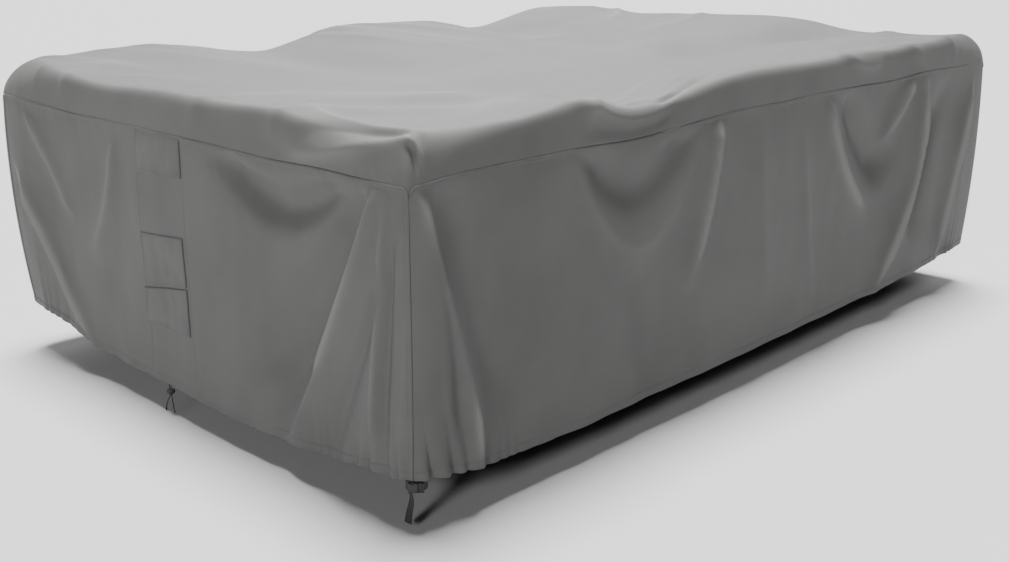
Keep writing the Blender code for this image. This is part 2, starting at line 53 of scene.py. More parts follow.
ROLL_SQUARENESS = 4.0  # added to the power of 2 of a round edge, away from the corners
ROLL_SQUARE_FROM = 0.35  # distance from a corner at which all of it is added
EDGE_BLEND = 0.06  # how soon the nearest edge's height takes over from the others
HALF_X = LENGTH / 2 - ROLL_INSET
HALF_Y = WIDTH / 2 - ROLL_INSET
FLAT_X = HALF_X + ROLL_CLOTH
FLAT_Y = HALF_Y + ROLL_CLOTH
CROWDING = 0.55  # how much closer the columns lie near the corners
CLOTH_THICK = 0.0014
CLOTH_GREY = (0.092, 0.0912, 0.0898, 1)
CLOTH_DARK = (0.076, 0.0755, 0.0745, 1)
# Painted highlight: the paler grey that fold crests are mixed towards
CLOTH_CREST_HIGHLIGHT = (0.150, 0.1488, 0.146, 1)
WEAVE_PITCH = 0.0009
CRISP = 0.0035  # how round the crest of a ridge is
FOLD_END = 0.36  # share of a fold's length in which each end dies away
TOP_WAVE = 0.0050
TOP_RIPPLE = 0.0016
TOP_PUCKER = 0.0013
TOP_COLUMNS = 250
TOP_ROWS = 170

# How the cover hangs: heights of its crest, seam and hem along each side, and how far it stands out there
HANG_COLUMNS = ("along", "crest", "seam", "hem", "seam_out", "mid_out", "hem_out")
HANG_ROWS = {
    "front": (
        (-1.41, 0.058, -0.050, -0.752, 0.000, 0.004, -0.004),
        (-1.25, 0.056, -0.039, -0.772, 0.002, 0.012, 0.008),
        (-1.08, 0.058, -0.039, -0.781, 0.004, 0.010, 0.014),
        (-0.83, 0.070, -0.041, -0.788, 0.002, 0.004, 0.016),
        (-0.60, 0.028, -0.050, -0.786, -0.006, 0.006, 0.018),
        (-0.18, 0.072, -0.029, -0.785, 0.004, 0.014, 0.018),
        (0.08, 0.073, -0.031, -0.783, 0.004, 0.012, 0.016),
        (0.27, 0.070, -0.028, -0.783, 0.006, 0.004, 0.012),
        (0.55, 0.073, -0.033, -0.782, 0.000, -0.004, 0.008),
        (0.79, 0.070, -0.040, -0.778, -0.006, -0.002, 0.006),
        (0.99, 0.071, -0.029, -0.773, 0.004, 0.012, 0.008),
        (1.23, 0.074, -0.036, -0.758, 0.004, 0.006, 0.004),
        (1.41, 0.074, -0.036, -0.746, 0.006, 0.012, 0.004),
    ),
    "left": (
        (-0.94, 0.058, -0.050, -0.752, 0.000, 0.004, 0.002),
        (-0.77, 0.052, -0.052, -0.768, 0.000, 0.012, 0.004),
        (-0.62, 0.052, -0.053, -0.785, -0.004, 0.004, 0.008),
        (-0.41, 0.062, -0.062, -0.803, -0.010, -0.008, 0.010),
        (-0.14, 0.054, -0.057, -0.808, 0.000, 0.004, 0.012),
        (0.10, 0.056, -0.057, -0.805, 0.004, 0.010, 0.010),
        (0.36, 0.040, -0.060, -0.801, 0.000, 0.002, 0.008),
        (0.56, 0.044, -0.064, -0.789, 0.000, 0.006, 0.006),
        (0.74, 0.056, -0.056, -0.765, 0.010, 0.006, 0.010),
        (0.94, 0.060, -0.046, -0.742, 0.024, 0.036, 0.020),
    ),
    "back": (
        (-1.41, 0.060, -0.046, -0.742, 0.078, 0.062, 0.026),
        (-1.10, 0.067, -0.034, -0.772, 0.030, 0.020, 0.012),
        (-0.85, 0.064, -0.040, -0.786, 0.006, 0.004, 0.014),
        (-0.50, 0.018, -0.062, -0.790, -0.008, 0.000, 0.016),
        (-0.17, 0.066, -0.036, -0.781, 0.004, 0.014, 0.012),
        (0.22, 0.070, -0.032, -0.783, 0.006, 0.008, 0.010),
        (0.62, 0.026, -0.056, -0.789, -0.008, -0.004, 0.014),
        (1.00, 0.074, -0.028, -0.777, 0.006, 0.012, 0.008),
        (1.41, 0.072, -0.034, -0.746, 0.004, 0.014, 0.004),
    ),
    "right": (
        (-0.94, 0.072, -0.036, -0.746, 0.078, 0.084, 0.062),
        (-0.68, 0.050, -0.050, -0.776, 0.036, 0.046, 0.040),
        (-0.46, 0.046, -0.050, -0.792, 0.000, 0.010, 0.022),
        (-0.21, 0.074, -0.030, -0.796, 0.006, 0.016, 0.014),
        (0.10, 0.076, -0.030, -0.794, 0.006, 0.012, 0.012),
        (0.43, 0.058, -0.044, -0.788, -0.004, 0.000, 0.012),
        (0.66, 0.046, -0.052, -0.775, -0.002, 0.010, 0.006),
        (0.94, 0.066, -0.034, -0.746, 0.006, 0.012, 0.002),
    ),
}
HANG = {name: dict(zip(HANG_COLUMNS, np.array(rows).T)) for name, rows in HANG_ROWS.items()}
OUT = {"front": (0, -1), "back": (0, 1), "left": (-1, 0), "right": (1, 0)}

# One row per fold: start x, y, end x, y, bow, start and end half width, height (below zero for a trough)
TOP_BROAD = (
    (-1.30, -0.36, -0.74, -0.74, 0.020, 0.060, 0.070, 0.014),
    (-1.10, 0.84, -0.62, -0.20, 0.060, 0.080, 0.140, 0.016),
    (-0.50, 0.86, -0.20, 0.10, -0.060, 0.100, 0.180, -0.013),
    (-0.16, 0.86, 0.10, -0.10, 0.050, 0.060, 0.120, 0.016),
    (0.62, 0.86, 0.50, 0.10, 0.030, 0.100, 0.200, -0.016),
    (1.00, 0.84, 0.60, -0.10, -0.040, 0.070, 0.140, 0.014),
    (-0.50, -0.86, -0.30, -0.20, 0.020, 0.120, 0.220, -0.013),
    (0.80, -0.86, 0.50, -0.20, 0.030, 0.120, 0.220, -0.013),
    (1.34, -0.46, 0.60, -0.20, 0.030, 0.120, 0.220, -0.016),
)


def ease(t):
    t = np.clip(t, 0.0, 1.0)
    return t * t * (3 - 2 * t)


def along_side(name, at, column):
    """A smooth curve through one column of a side's hang."""
    stops, values = HANG[name]["along"], HANG[name][column]
    at = np.clip(at, stops[0], stops[-1])
    last = len(stops) - 1
    near = np.clip(np.searchsorted(stops, at, side="right") - 1, 0, last - 1)
    before, far, after = np.maximum(near - 1, 0), near + 1, np.minimum(near + 2, last)
    span = stops[far] - stops[near]
    t = (at - stops[near]) / span
    slope_in = (values[far] - values[before]) / (stops[far] - stops[before]) * span
    slope_out = (values[after] - values[near]) / (stops[after] - stops[near]) * span
    start, end = values[near] * (1 + 2 * t) * (1 - t) ** 2, values[far] * t * t * (3 - 2 * t)
    return start + slope_in * t * (1 - t) ** 2 + end - slope_out * t * t * (1 - t)


def folded(folds, across, down):
    """The height that a table of folds adds: a ridge has a crisp crest, and a trough is round."""
    total = np.zeros(np.broadcast(across, down).shape)
    for start_a, start_d, end_a, end_d, bow, start_wide, end_wide, height in folds:
        run_a, run_d = end_a - start_a, end_d - start_d
        length = math.hypot(run_a, run_d)
        t = ((across - start_a) * run_a + (down - start_d) * run_d) / length**2
        aside = ((down - start_d) * run_a - (across - start_a) * run_d) / length
        inside = np.clip(t, 0, 1)
        aside = aside - bow * 4 * inside * (1 - inside)
        wide = start_wide + (end_wide - start_wide) * inside
        if height > 0:
            shape = np.exp(-(np.hypot(aside, CRISP) - CRISP) / wide)
        else:
            shape = np.exp(-((aside / wide) ** 2))
        total += height * shape * ease(t / FOLD_END + 0.5) * ease((1 - t) / FOLD_END + 0.5)
    return total


def rumple(x, y, seed):
    """Smooth unevenness from about -1 to 1, the same each run."""
    left, low = np.floor(x), np.floor(y)
    total = 0.0
    for i in (0, 1):
        for j in (0, 1):
            turn = np.sin((left + i) * 127.1 + (low + j) * 311.7 + seed * 74.7) * 43758.5453
            dx, dy = x - left - i, y - low - j
            tilt = np.cos(turn) * dx + np.sin(turn) * dy
            total = total + ease(1 - np.abs(dx)) * ease(1 - np.abs(dy)) * tilt
    return total * 1.5


def turned(flat, half):
    """How far round the rolled edge the cloth has gone, from 0 to 1."""
    return np.clip((np.abs(flat) - half) / ROLL_CLOTH, 0, 1)


def roll_profile(turn, from_corner):
    """How far a rolled edge has reached out and fallen: round at a corner, squarer away from it."""
    power = 2 + ROLL_SQUARENESS * ease(from_corner / ROLL_SQUARE_FROM)
    out, up = np.sin(turn * math.pi / 2), np.maximum(np.cos(turn * math.pi / 2), 0)
    size = (out**power + up**power) ** (-1 / power)
    return out * size, 1 - up * size


def rolled_plan(turn_x, turn_y, from_corner):
    """How far the cloth reaches beyond the edge's crest along X and Y: a rounded corner in plan."""
    larger, smaller = np.maximum(turn_x, turn_y), np.minimum(turn_x, turn_y)
    angle = math.pi / 4 * smaller / np.maximum(larger, 1e-9)
    reach = ROLL_INSET * roll_profile(larger, from_corner)[0]
    reach = reach * (1 + (1 - CORNER_ROUNDING) * (1 / np.cos(angle) - 1))
    along, aside = reach * np.cos(angle), reach * np.sin(angle)
    return np.where(turn_x > turn_y, along, aside), np.where(turn_x > turn_y, aside, along)


def crest_height(x, y):
    """The top inside its rolled edge: the four edges' heights blended, with the sag and broad folds."""
    total = weights = 0.0
    for name, (out_x, out_y) in OUT.items():
        distance = HALF_X - out_x * x if out_x else HALF_Y - out_y * y
        weight = 1 / (distance + EDGE_BLEND) ** 2
        total = total + weight * along_side(name, y if out_x else x, "crest")
        weights = weights + weight
    sag = SAG * (1 - (x / HALF_X) ** 2) * (1 - (y / HALF_Y) ** 2)
    fade = ease((HALF_X + EDGE_BLEND - np.abs(x)) / 0.08) * ease((HALF_Y + EDGE_BLEND - np.abs(y)) / 0.08)
    return total / weights - sag + folded(TOP_BROAD, x, y) * fade


def top_point(flat_x, flat_y):
    """A point of the top panel from its flat cloth coordinates."""
    flat_x, flat_y = np.broadcast_arrays(flat_x, flat_y)
    turn_x, turn_y = turned(flat_x, HALF_X), turned(flat_y, HALF_Y)
    inner_x, inner_y = np.clip(flat_x, -HALF_X, HALF_X), np.clip(flat_y, -HALF_Y, HALF_Y)
    from_corner = np.where(turn_x > turn_y, HALF_Y - np.abs(inner_y), HALF_X - np.abs(inner_x))
    over_x, over_y = rolled_plan(turn_x, turn_y, from_corner)
    x, y = inner_x + np.copysign(over_x, flat_x), inner_y + np.copysign(over_y, flat_y)

    def either(high, low, at, column, positive):
        return np.where(positive, along_side(high, at, column), along_side(low, at, column))

    crest = crest_height(inner_x, inner_y)
    end_full = crest - either("right", "left", y, "seam", flat_x > 0)
    flank_full = crest - either("back", "front", x, "seam", flat_y > 0)
    drop = (roll_profile(turn_x, from_corner)[1] * end_full) ** ROLL_CORNER_POWER
    drop = drop + (roll_profile(turn_y, from_corner)[1] * flank_full) ** ROLL_CORNER_POWER
    z = crest - drop ** (1 / ROLL_CORNER_POWER)
    push_x = either("right", "left", y, "seam_out", flat_x > 0) * ease(turn_x) * np.sign(flat_x)
    push_y = either("back", "front", x, "seam_out", flat_y > 0) * ease(turn_y) * np.sign(flat_y)
    return np.stack([x + push_x, y + push_y, z], axis=-1)


def crowded(t):
    return t + CROWDING * np.sin(math.pi * t) / math.pi


def normals_of(points):
    """Outward unit normals of a grid of points, by columns and rows."""
    cross = np.cross(np.gradient(points, axis=0), np.gradient(points, axis=1))
    return cross / np.maximum(np.linalg.norm(cross, axis=-1, keepdims=True), 1e-12)


def put_in_scene(name, data):
    made = bpy.data.objects.new(name, data)
    bpy.context.scene.collection.objects.link(made)
    return made


def smooth_piece(name, mesh, finish):
    mesh.shade_smooth()
    mesh.materials.append(finish)
    return put_in_scene(name, mesh)


def mesh_of(name, shape):
    mesh = bpy.data.meshes.new(name)
    shape.to_mesh(mesh)
    shape.free()
    return mesh


def run_along(line):
    """Distance along a line of points."""
    return np.concatenate([[0], np.cumsum(np.linalg.norm(np.diff(line, axis=0), axis=1))])


def lay_sheet(name, points, finish, thick, crest_highlight=None):
    """A grid of cloth moved onto points (columns by rows), with a UV map in metres and its thickness."""
    columns, rows = points.shape[0], points.shape[1]
    grid = bmesh.new()
    bmesh.ops.create_grid(grid, x_segments=columns - 1, y_segments=rows - 1, size=1.0)
    mesh = mesh_of(name, grid)
    places = np.zeros(len(mesh.vertices) * 3)
    mesh.vertices.foreach_get("co", places)
    places = places.reshape(-1, 3)
    i = np.rint((places[:, 0] + 1) / 2 * (columns - 1)).astype(int)
    j = np.rint((places[:, 1] + 1) / 2 * (rows - 1)).astype(int)
    mesh.vertices.foreach_set("co", points[i, j].ravel())
    u, v = run_along(points[:, rows // 2]), run_along(points[columns // 2])
    corners = np.zeros(len(mesh.loops), int)
    mesh.loops.foreach_get("vertex_index", corners)
    flat_map = mesh.uv_layers.new(name="Cloth")
    flat_map.data.foreach_set("uv", np.stack([u[i], v[j]], axis=1)[corners].ravel())
    # The painted crest highlight, kept as a point attribute
    if crest_highlight is not None:
        painted_crest_light = mesh.attributes.new("CrestHighlight", "FLOAT", "POINT")
        painted_crest_light.data.foreach_set("value", crest_highlight[i, j].astype(np.float32))
    piece = smooth_piece(name, mesh, finish)
    solid = piece.modifiers.new("Thickness", "SOLIDIFY")
    solid.thickness = thick
    solid.offset = 0
    return piece


def set_sockets(node, sockets):
    for name, value in sockets.items():
        node.inputs[name.replace("_", " ")].default_value = value


def new_finish(name, **sockets):
    """A new material, its node tree and its shader with its own constants."""
    made = bpy.data.materials.new(name)
    made.use_nodes = True
    shader = made.node_tree.nodes["Principled BSDF"]
    set_sockets(shader, sockets)
    return made, made.node_tree, shader


def add_node(tree, kind, **sockets):
    node = tree.nodes.new(kind)
    set_sockets(node, sockets)
    return node


def add_noise(tree, **sockets):
    """Noise fixed to the piece."""
    noise = add_node(tree, "ShaderNodeTexNoise", **sockets)
    place = tree.nodes.new("ShaderNodeTexCoord")
    tree.links.new(place.outputs["Object"], noise.inputs["Vector"])
    return noise.outputs["Fac"]


def add_threads(tree, vector, direction, pitch, distortion=0.0):
    """Bands a thread's pitch apart."""
    wave = add_node(tree, "ShaderNodeTexWave", Scale=math.pi / (10 * pitch), Distortion=distortion)
    wave.bands_direction = direction
    tree.links.new(vector, wave.inputs["Vector"])
    return wave.outputs["Fac"]


def cloth_map(tree):
    """The piece's own flat coordinates."""
    flat = tree.nodes.new("ShaderNodeUVMap")
    flat.uv_map = "Cloth"
    return flat.outputs["UV"]


def crossed(tree, how, threads):
    """Two sets of threads as one pattern."""
    weave = tree.nodes.new("ShaderNodeMath")
    weave.operation = how
    for thread, socket in zip(threads, weave.inputs):
        tree.links.new(thread, socket)
    return weave.outputs["Value"]


def add_bump(tree, height, strength, distance):
    bump = add_node(tree, "ShaderNodeBump", Strength=strength, Distance=distance)
    tree.links.new(height, bump.inputs["Height"])
    return bump


def add_tint(tree, factor, dark, light, start=0.0, end=1.0):
    """A colour between dark and light."""
    ramp = tree.nodes.new("ShaderNodeValToRGB")
    for stop, position, colour in zip(ramp.color_ramp.elements, (start, end), (dark, light)):
        stop.position = position
        stop.color = colour
    tree.links.new(factor, ramp.inputs["Fac"])
    return ramp.outputs["Color"]


def woven_cloth(name, plain, dark, painted_crest_light):
    """Matte coated polyester: plain weave with painted shade between the threads, slight crinkle, uneven
    dye, and a painted highlight that makes it paler along fold crests.
    """
    made, tree, shader = new_finish(name, Specular_IOR_Level=0.22, Sheen_Weight=0.03, Sheen_Roughness=0.45)
    link = tree.links.new
    flat = cloth_map(tree)
    weave = crossed(tree, "MAXIMUM", [add_threads(tree, flat, way, WEAVE_PITCH) for way in "XY"])
    crinkle = add_noise(tree, Scale=34.0, Detail=6.0, Roughness=0.58)
    cloud = add_noise(tree, Scale=3.2, Detail=7.0, Roughness=0.62)

    crinkle_bump = add_bump(tree, crinkle, 0.22, 0.0016)
    weave_bump = add_bump(tree, weave, 0.35, 0.00022)
    link(crinkle_bump.outputs["Normal"], weave_bump.inputs["Normal"])
    link(weave_bump.outputs["Normal"], shader.inputs["Normal"])

    # Painted shade between the threads: the weave darkens the colour where the threads dip
    shade = tree.nodes.new("ShaderNodeMix")
    shade.data_type = "RGBA"
    shade.blend_type = "MULTIPLY"
    shade.inputs[0].default_value = 0.16
    link(add_tint(tree, cloud, dark, plain, 0.34, 0.62), shade.inputs[6])
    link(weave, shade.inputs[7])
    # Painted highlight: the colour turns paler along fold crests, following the crest attribute
    crest_light_attribute = tree.nodes.new("ShaderNodeAttribute")
    crest_light_attribute.attribute_name = "CrestHighlight"
    highlighted = tree.nodes.new("ShaderNodeMix")
    highlighted.data_type = "RGBA"
    highlighted.inputs[7].default_value = painted_crest_light
    link(crest_light_attribute.outputs["Fac"], highlighted.inputs[0])
    link(shade.outputs[2], highlighted.inputs[6])
    link(highlighted.outputs[2], shader.inputs["Base Color"])

    uneven = add_node(tree, "ShaderNodeMapRange", To_Min=0.52, To_Max=0.66)
    link(cloud, uneven.inputs["Value"])
    link(uneven.outputs["Result"], shader.inputs["Roughness"])
    return made


cloth = woven_cloth("Cover cloth", CLOTH_GREY, CLOTH_DARK, CLOTH_CREST_HIGHLIGHT)

# Creases of the top in flat cloth coordinates: they may run down over the rolled edge
TOP_CREASES = (
    (-1.375, -0.97, -1.470, -0.50, 0.010, 0.018, 0.022, 0.018),
    (-1.375, -0.90, -1.430, -0.56, 0.000, 0.022, 0.030, -0.015),
    (-1.350, -0.93, -1.330, -0.52, 0.020, 0.016, 0.030, 0.012),
    (-1.300, -0.20, -0.900, -0.66, 0.040, 0.020, 0.040, 0.015),
    (-1.43, -0.10, -0.60, -0.72, 0.030, 0.020, 0.050, 0.011),
    (-1.40, -0.46, -0.92, -0.84, 0.020, 0.016, 0.040, 0.015),
    (-1.20, -0.84, -0.40, -0.70, 0.030, 0.030, 0.050, 0.009),
    (-0.98, 0.90, -0.70, 0.40, 0.020, 0.018, 0.040, 0.011),
    (-0.22, 0.92, 0.16, 0.42, 0.050, 0.016, 0.040, 0.015),
    (-0.28, 0.90, -0.08, 0.52, 0.030, 0.014, 0.030, 0.009),
    (-0.16, 0.92, 0.46, 0.62, 0.040, 0.016, 0.040, 0.009),
    (0.30, 0.92, 0.70, 0.46, 0.030, 0.020, 0.040, 0.009),
    (-1.34, 0.90, -1.16, 0.52, 0.020, 0.016, 0.040, 0.011),
    (-0.66, -0.84, 0.05, -0.62, 0.020, 0.016, 0.030, 0.009),
    (-0.62, -0.90, -0.10, -0.76, 0.014, 0.014, 0.024, 0.007),
    (-0.50, -0.93, -0.22, -0.86, 0.006, 0.012, 0.020, -0.012),
    (-0.80, -0.96, -0.58, -0.82, 0.010, 0.020, 0.030, 0.011),
    (0.96, -0.98, 0.70, -0.78, 0.010, 0.018, 0.034, 0.009),
    (0.40, -0.96, 0.62, -0.70, 0.010, 0.018, 0.034, 0.007),
    (1.20, -0.96, 1.02, -0.60, 0.020, 0.020, 0.040, 0.009),
    (1.42, -0.60, 0.90, -0.40, 0.020, 0.020, 0.050, 0.011),
    (1.42, 0.30, 0.90, 0.20, 0.020, 0.020, 0.050, 0.009),
    (1.42, 0.80, 1.05, 0.52, 0.020, 0.020, 0.050, 0.011),
    (-1.44, 0.62, -1.16, 0.34, 0.010, 0.018, 0.034, 0.009),
    (-1.43, 0.78, -1.20, 0.64, 0.010, 0.016, 0.026, 0.007),
    (-1.428, -1.010, -1.394, -0.935, 0.000, 0.012, 0.016, -0.012),
    (-0.88, -0.925, -0.50, -0.955, -0.022, 0.014, 0.020, 0.014),
    (-0.80, -0.985, -0.44, -0.975, -0.010, 0.026, 0.034, -0.016),
    (0.44, -0.93, 0.66, -0.965, -0.016, 0.012, 0.018, 0.010),
)


def top_detail(flat_x, flat_y):
    """What lies on the top's broad hang: its creases, slow waves, crinkles and puckers beside the seam."""
    creases = folded(TOP_CREASES, flat_x, flat_y)
    waves = TOP_WAVE * rumple(flat_x * 2.3 + 0.4 * flat_y, flat_y * 3.1, 3)
    waves = waves + TOP_RIPPLE * rumple(flat_x * 7, flat_y * 9, 5)
    to_seam = np.minimum(FLAT_X - np.abs(flat_x), FLAT_Y - np.abs(flat_y))
    pucker = TOP_PUCKER * rumple(flat_x * 34, flat_y * 34, 8)
    pucker = pucker * np.exp(-to_seam / 0.03) * ease(to_seam / 0.008)
    return (creases + waves) * ease(to_seam / 0.06) + pucker, creases


def top_grid():
    a, b = np.meshgrid(np.linspace(-1, 1, TOP_COLUMNS + 1), np.linspace(-1, 1, TOP_ROWS + 1), indexing="ij")
    flat_x, flat_y = crowded(a) * FLAT_X, crowded(b) * FLAT_Y
    points = top_point(flat_x, flat_y)
    detail, creases = top_detail(flat_x, flat_y)
    # Painted highlight along the crests of the creases
    crest_highlight = np.clip(creases / 0.014, 0, 1) ** 2 * 0.45
    return points + normals_of(points) * detail[..., None], crest_highlight


top_points, top_crest_highlight = top_grid()
top = lay_sheet("top_cloth", top_points, cloth, CLOTH_THICK, top_crest_highlight)
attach(top, "root")
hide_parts("top_panel")

# ---- Skirt panels ----
# Four cuts of the same cloth, sewn to the top all round and to each other at the corners. They hang from
# the seam in swags between the chair backs, and a drawn hem gathers them in at the corners.
PANEL_COLUMNS = {"front": 400, "back": 320, "left": 300, "right": 240}
UPPER_ROWS = 92
HEM_ROWS = 16
HEM_SHARE = 0.055  # of the drop, which the close rows at the hem cover
HEM_WIDE = 0.022
HEM_PROUD = 0.0012
CORNER_REACH = 0.30  # how far a corner's own lean runs along its panels
FOLD_FADE = 0.07  # where folds die away beside a corner seam
GATHER_PITCH = 0.052
GATHER_TALL = 0.030
FAR_GATHER = 0.42  # share of it away from the near corner
SKIRT_WAVE = 0.0045
SKIRT_RIPPLE = 0.0012
SKIRT_PUCKER = 0.0018
HEM_SLACK = 0.0040

# One row per fold: start along, start down, end along, end down, bow, start and end half width, height
SKIRT_FOLDS = {
    "front": (
        (-1.34, 0.10, -1.26, 0.62, -0.020, 0.022, 0.030, -0.018),
        (-1.38, 0.02, -1.21, 0.72, -0.025, 0.019, 0.029, 0.030),
        (-1.30, 0.03, -1.12, 0.60, 0.010, 0.050, 0.085, -0.023),
        (-0.82, 0.00, -0.38, 0.00, 0.135, 0.065, 0.065, -0.022),
        (-0.86, 0.03, -0.34, 0.05, 0.250, 0.050, 0.050, 0.013),
        (-0.25, -0.02, -0.37, 0.42, -0.020, 0.016, 0.030, 0.022),
        (0.20, 0.15, 0.30, 0.66, 0.000, 0.029, 0.043, 0.012),
        (0.34, 0.04, 0.62, 0.42, 0.030, 0.019, 0.043, 0.025),
        (0.46, 0.03, 0.74, 0.30, 0.020, 0.040, 0.080, -0.032),
        (0.92, 0.00, 0.70, 0.20, -0.020, 0.017, 0.036, 0.020),
        (0.98, 0.06, 0.75, 0.70, -0.085, 0.017, 0.032, 0.032),
        (1.12, 0.10, 1.00, 0.60, 0.030, 0.045, 0.070, -0.026),
        (1.35, 0.12, 1.21, 0.66, 0.000, 0.017, 0.029, 0.028),
        (-0.60, 0.34, -0.52, 0.70, 0.000, 0.060, 0.090, -0.014),
        (-0.04, 0.10, 0.02, 0.62, 0.010, 0.050, 0.090, 0.010),
    ),
    "left": (
        (-0.855, 0.20, -0.64, 0.70, 0.006, 0.018, 0.030, -0.015),
        (-0.60, 0.50, -0.40, 0.74, 0.000, 0.030, 0.060, -0.012),
        (-0.79, 0.05, -0.43, 0.66, 0.015, 0.026, 0.045, -0.018),
        (-0.88, 0.16, -0.83, 0.66, 0.000, 0.012, 0.018, -0.014),
        (-0.93, 0.10, -0.90, 0.64, 0.000, 0.012, 0.016, 0.012),
        (-0.83, 0.02, -0.49, 0.68, 0.015, 0.017, 0.032, 0.030),
        (-0.76, 0.07, -0.38, 0.58, 0.000, 0.046, 0.090, -0.040),
        (-0.20, 0.00, -0.70, 0.02, -0.105, 0.052, 0.052, -0.030),
        (-0.86, 0.10, -0.80, 0.62, 0.000, 0.012, 0.014, 0.017),
        (0.34, 0.08, 0.49, 0.40, 0.020, 0.020, 0.040, 0.017),
        (0.83, 0.06, 0.62, 0.30, 0.000, 0.017, 0.036, 0.018),
        (0.96, 0.20, 0.56, 0.70, -0.030, 0.014, 0.029, 0.028),
        (0.10, 0.34, 0.12, 0.70, 0.000, 0.100, 0.140, -0.009),
    ),
    "back": (
        (-1.30, 0.04, -1.16, 0.70, 0.020, 0.019, 0.036, 0.022),
        (-0.84, 0.02, -0.46, 0.02, 0.112, 0.068, 0.068, -0.016),
        (-0.90, 0.03, -0.38, 0.04, 0.200, 0.054, 0.054, 0.009),
        (-0.28, 0.02, -0.44, 0.56, 0.020, 0.019, 0.043, 0.018),
        (0.28, 0.03, 0.50, 0.52, -0.020, 0.019, 0.043, 0.018),
        (0.40, 0.01, 0.86, 0.02, 0.120, 0.068, 0.068, -0.016),
        (0.96, 0.04, 0.84, 0.66, 0.040, 0.019, 0.036, 0.020),
        (1.33, 0.06, 1.22, 0.70, 0.010, 0.019, 0.032, 0.020),
        (-0.04, 0.06, -0.02, 0.60, 0.010, 0.040, 0.070, 0.010),
    ),
    "right": (
        (-0.84, 0.06, -0.66, 0.68, 0.020, 0.019, 0.036, 0.022),
        (-0.66, 0.01, -0.28, 0.02, 0.104, 0.068, 0.068, -0.014),
        (-0.20, 0.04, -0.30, 0.60, 0.020, 0.019, 0.043, 0.017),
        (0.18, 0.04, 0.34, 0.60, 0.010, 0.019, 0.043, 0.017),
        (0.30, 0.01, 0.72, 0.02, 0.096, 0.068, 0.068, -0.013),
        (0.82, 0.06, 0.70, 0.66, 0.010, 0.019, 0.036, 0.020),
    ),
}


def stand_out(name, along, down):
    """How far a skirt stands out of its own seam."""
    seam, mid, hem = (along_side(name, along, c) for c in ("seam_out", "mid_out", "hem_out"))
    upper = seam * (1 - down) * (1 - 2 * down) + mid * 4 * down * (1 - down)
    return upper + hem * down * (2 * down - 1) - seam


def skirt_detail(name, along, drop, total, from_corner):
    """What lies on a skirt's broad hang: folds, slow waves, puckers at the seam, gathers and the hem."""
    seed = sorted(OUT).index(name) * 11
    up = total - drop
    folds = folded(SKIRT_FOLDS[name], along, drop)
    waves = SKIRT_WAVE * rumple(along * 4.6, drop * 1.3, seed)
    waves = waves + SKIRT_RIPPLE * rumple(along * 15, drop * 5, seed + 1)
    pucker = SKIRT_PUCKER * rumple(along * 30, drop * 11, seed + 2)
    pucker = pucker * np.exp(-drop / 0.04) * ease(drop / 0.008)
    near = np.where((along < 0) & (name in ("front", "left")), 1.0, FAR_GATHER)
    wander = 1.30 * rumple(along * 8, drop * 1.5, seed + 3)
    arch = np.abs(np.sin(math.pi * (from_corner / GATHER_PITCH + wander))) - 0.62
    bulge = 0.75 + 0.6 * rumple(along * 10, 0.3 + 0 * drop, seed + 5)
    gather = GATHER_TALL * near * bulge * arch
    gather = gather * np.exp(-((from_corner / (0.14 + 0.12 * near)) ** 2)) * np.exp(-up / 0.070)
    slack = HEM_SLACK * rumple(along * 9, up * 4, seed + 4) * np.exp(-up / 0.12)
    edge = ease(from_corner / FOLD_FADE)
    hem = HEM_PROUD * ease((HEM_WIDE - up) / 0.0016 + 0.5)
    return (folds + waves) * edge * ease(drop / 0.06) + pucker + (gather + slack) * edge + hem, folds


def skirt_grid(name, columns):
    out_x, out_y = OUT[name]
    facing = 1 if name in ("front", "right") else -1  # so that each grid faces outwards
    shares = np.concatenate([
        np.linspace(1, HEM_SHARE, UPPER_ROWS, endpoint=False),
        np.linspace(HEM_SHARE, 0, HEM_ROWS + 1),
    ])
    a, up_share = np.meshgrid(np.linspace(-1, 1, columns + 1), shares[::-1], indexing="ij")
    down = 1 - up_share
    flat = facing * crowded(a) * (FLAT_Y if out_x else FLAT_X)
    if out_x:
        edge = top_point(out_x * FLAT_X, flat)
        along, half, neighbours = edge[..., 1], WIDTH / 2, ("front", "back")
    else:
        edge = top_point(flat, out_y * FLAT_Y)
        along, half, neighbours = edge[..., 0], LENGTH / 2, ("left", "right")
    total = edge[..., 2] - along_side(name, along, "hem")
    drop = total * down
    from_corner = half - np.abs(along)
    detail, folds = skirt_detail(name, along, drop, total, np.maximum(from_corner, 0))
    stands = stand_out(name, along, down)
    corner_along = math.copysign(10, out_x + out_y)
    points = edge.copy()
    points[..., 2] -= drop
    for sign, neighbour in zip((-1, 1), neighbours):
        lean = stand_out(neighbour, np.full_like(down, corner_along), down)
        lean = lean * ease(1 - from_corner / CORNER_REACH) * (np.sign(along) == sign)
        points[..., 0] += OUT[neighbour][0] * lean
        points[..., 1] += OUT[neighbour][1] * lean
    points[..., 0] += out_x * (stands + detail)
    points[..., 1] += out_y * (stands + detail)
    # Painted highlight along the crests of the folds
    crest_highlight = np.clip(folds / 0.020, 0, 1) ** 4 * 0.75
    return {"flat": flat[:, 0], "down": down[0], "total": total[:, 0], "points": points}, crest_highlight


panels = {}
for side, columns in PANEL_COLUMNS.items():
    panels[side], skirt_crest_highlight = skirt_grid(side, columns)
    skirt = lay_sheet("skirt_" + side + "_cloth", panels[side]["points"], cloth, CLOTH_THICK, skirt_crest_highlight)
    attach(skirt, "root")
    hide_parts("skirt_" + side)
    panels[side]["normals"] = normals_of(panels[side]["points"])


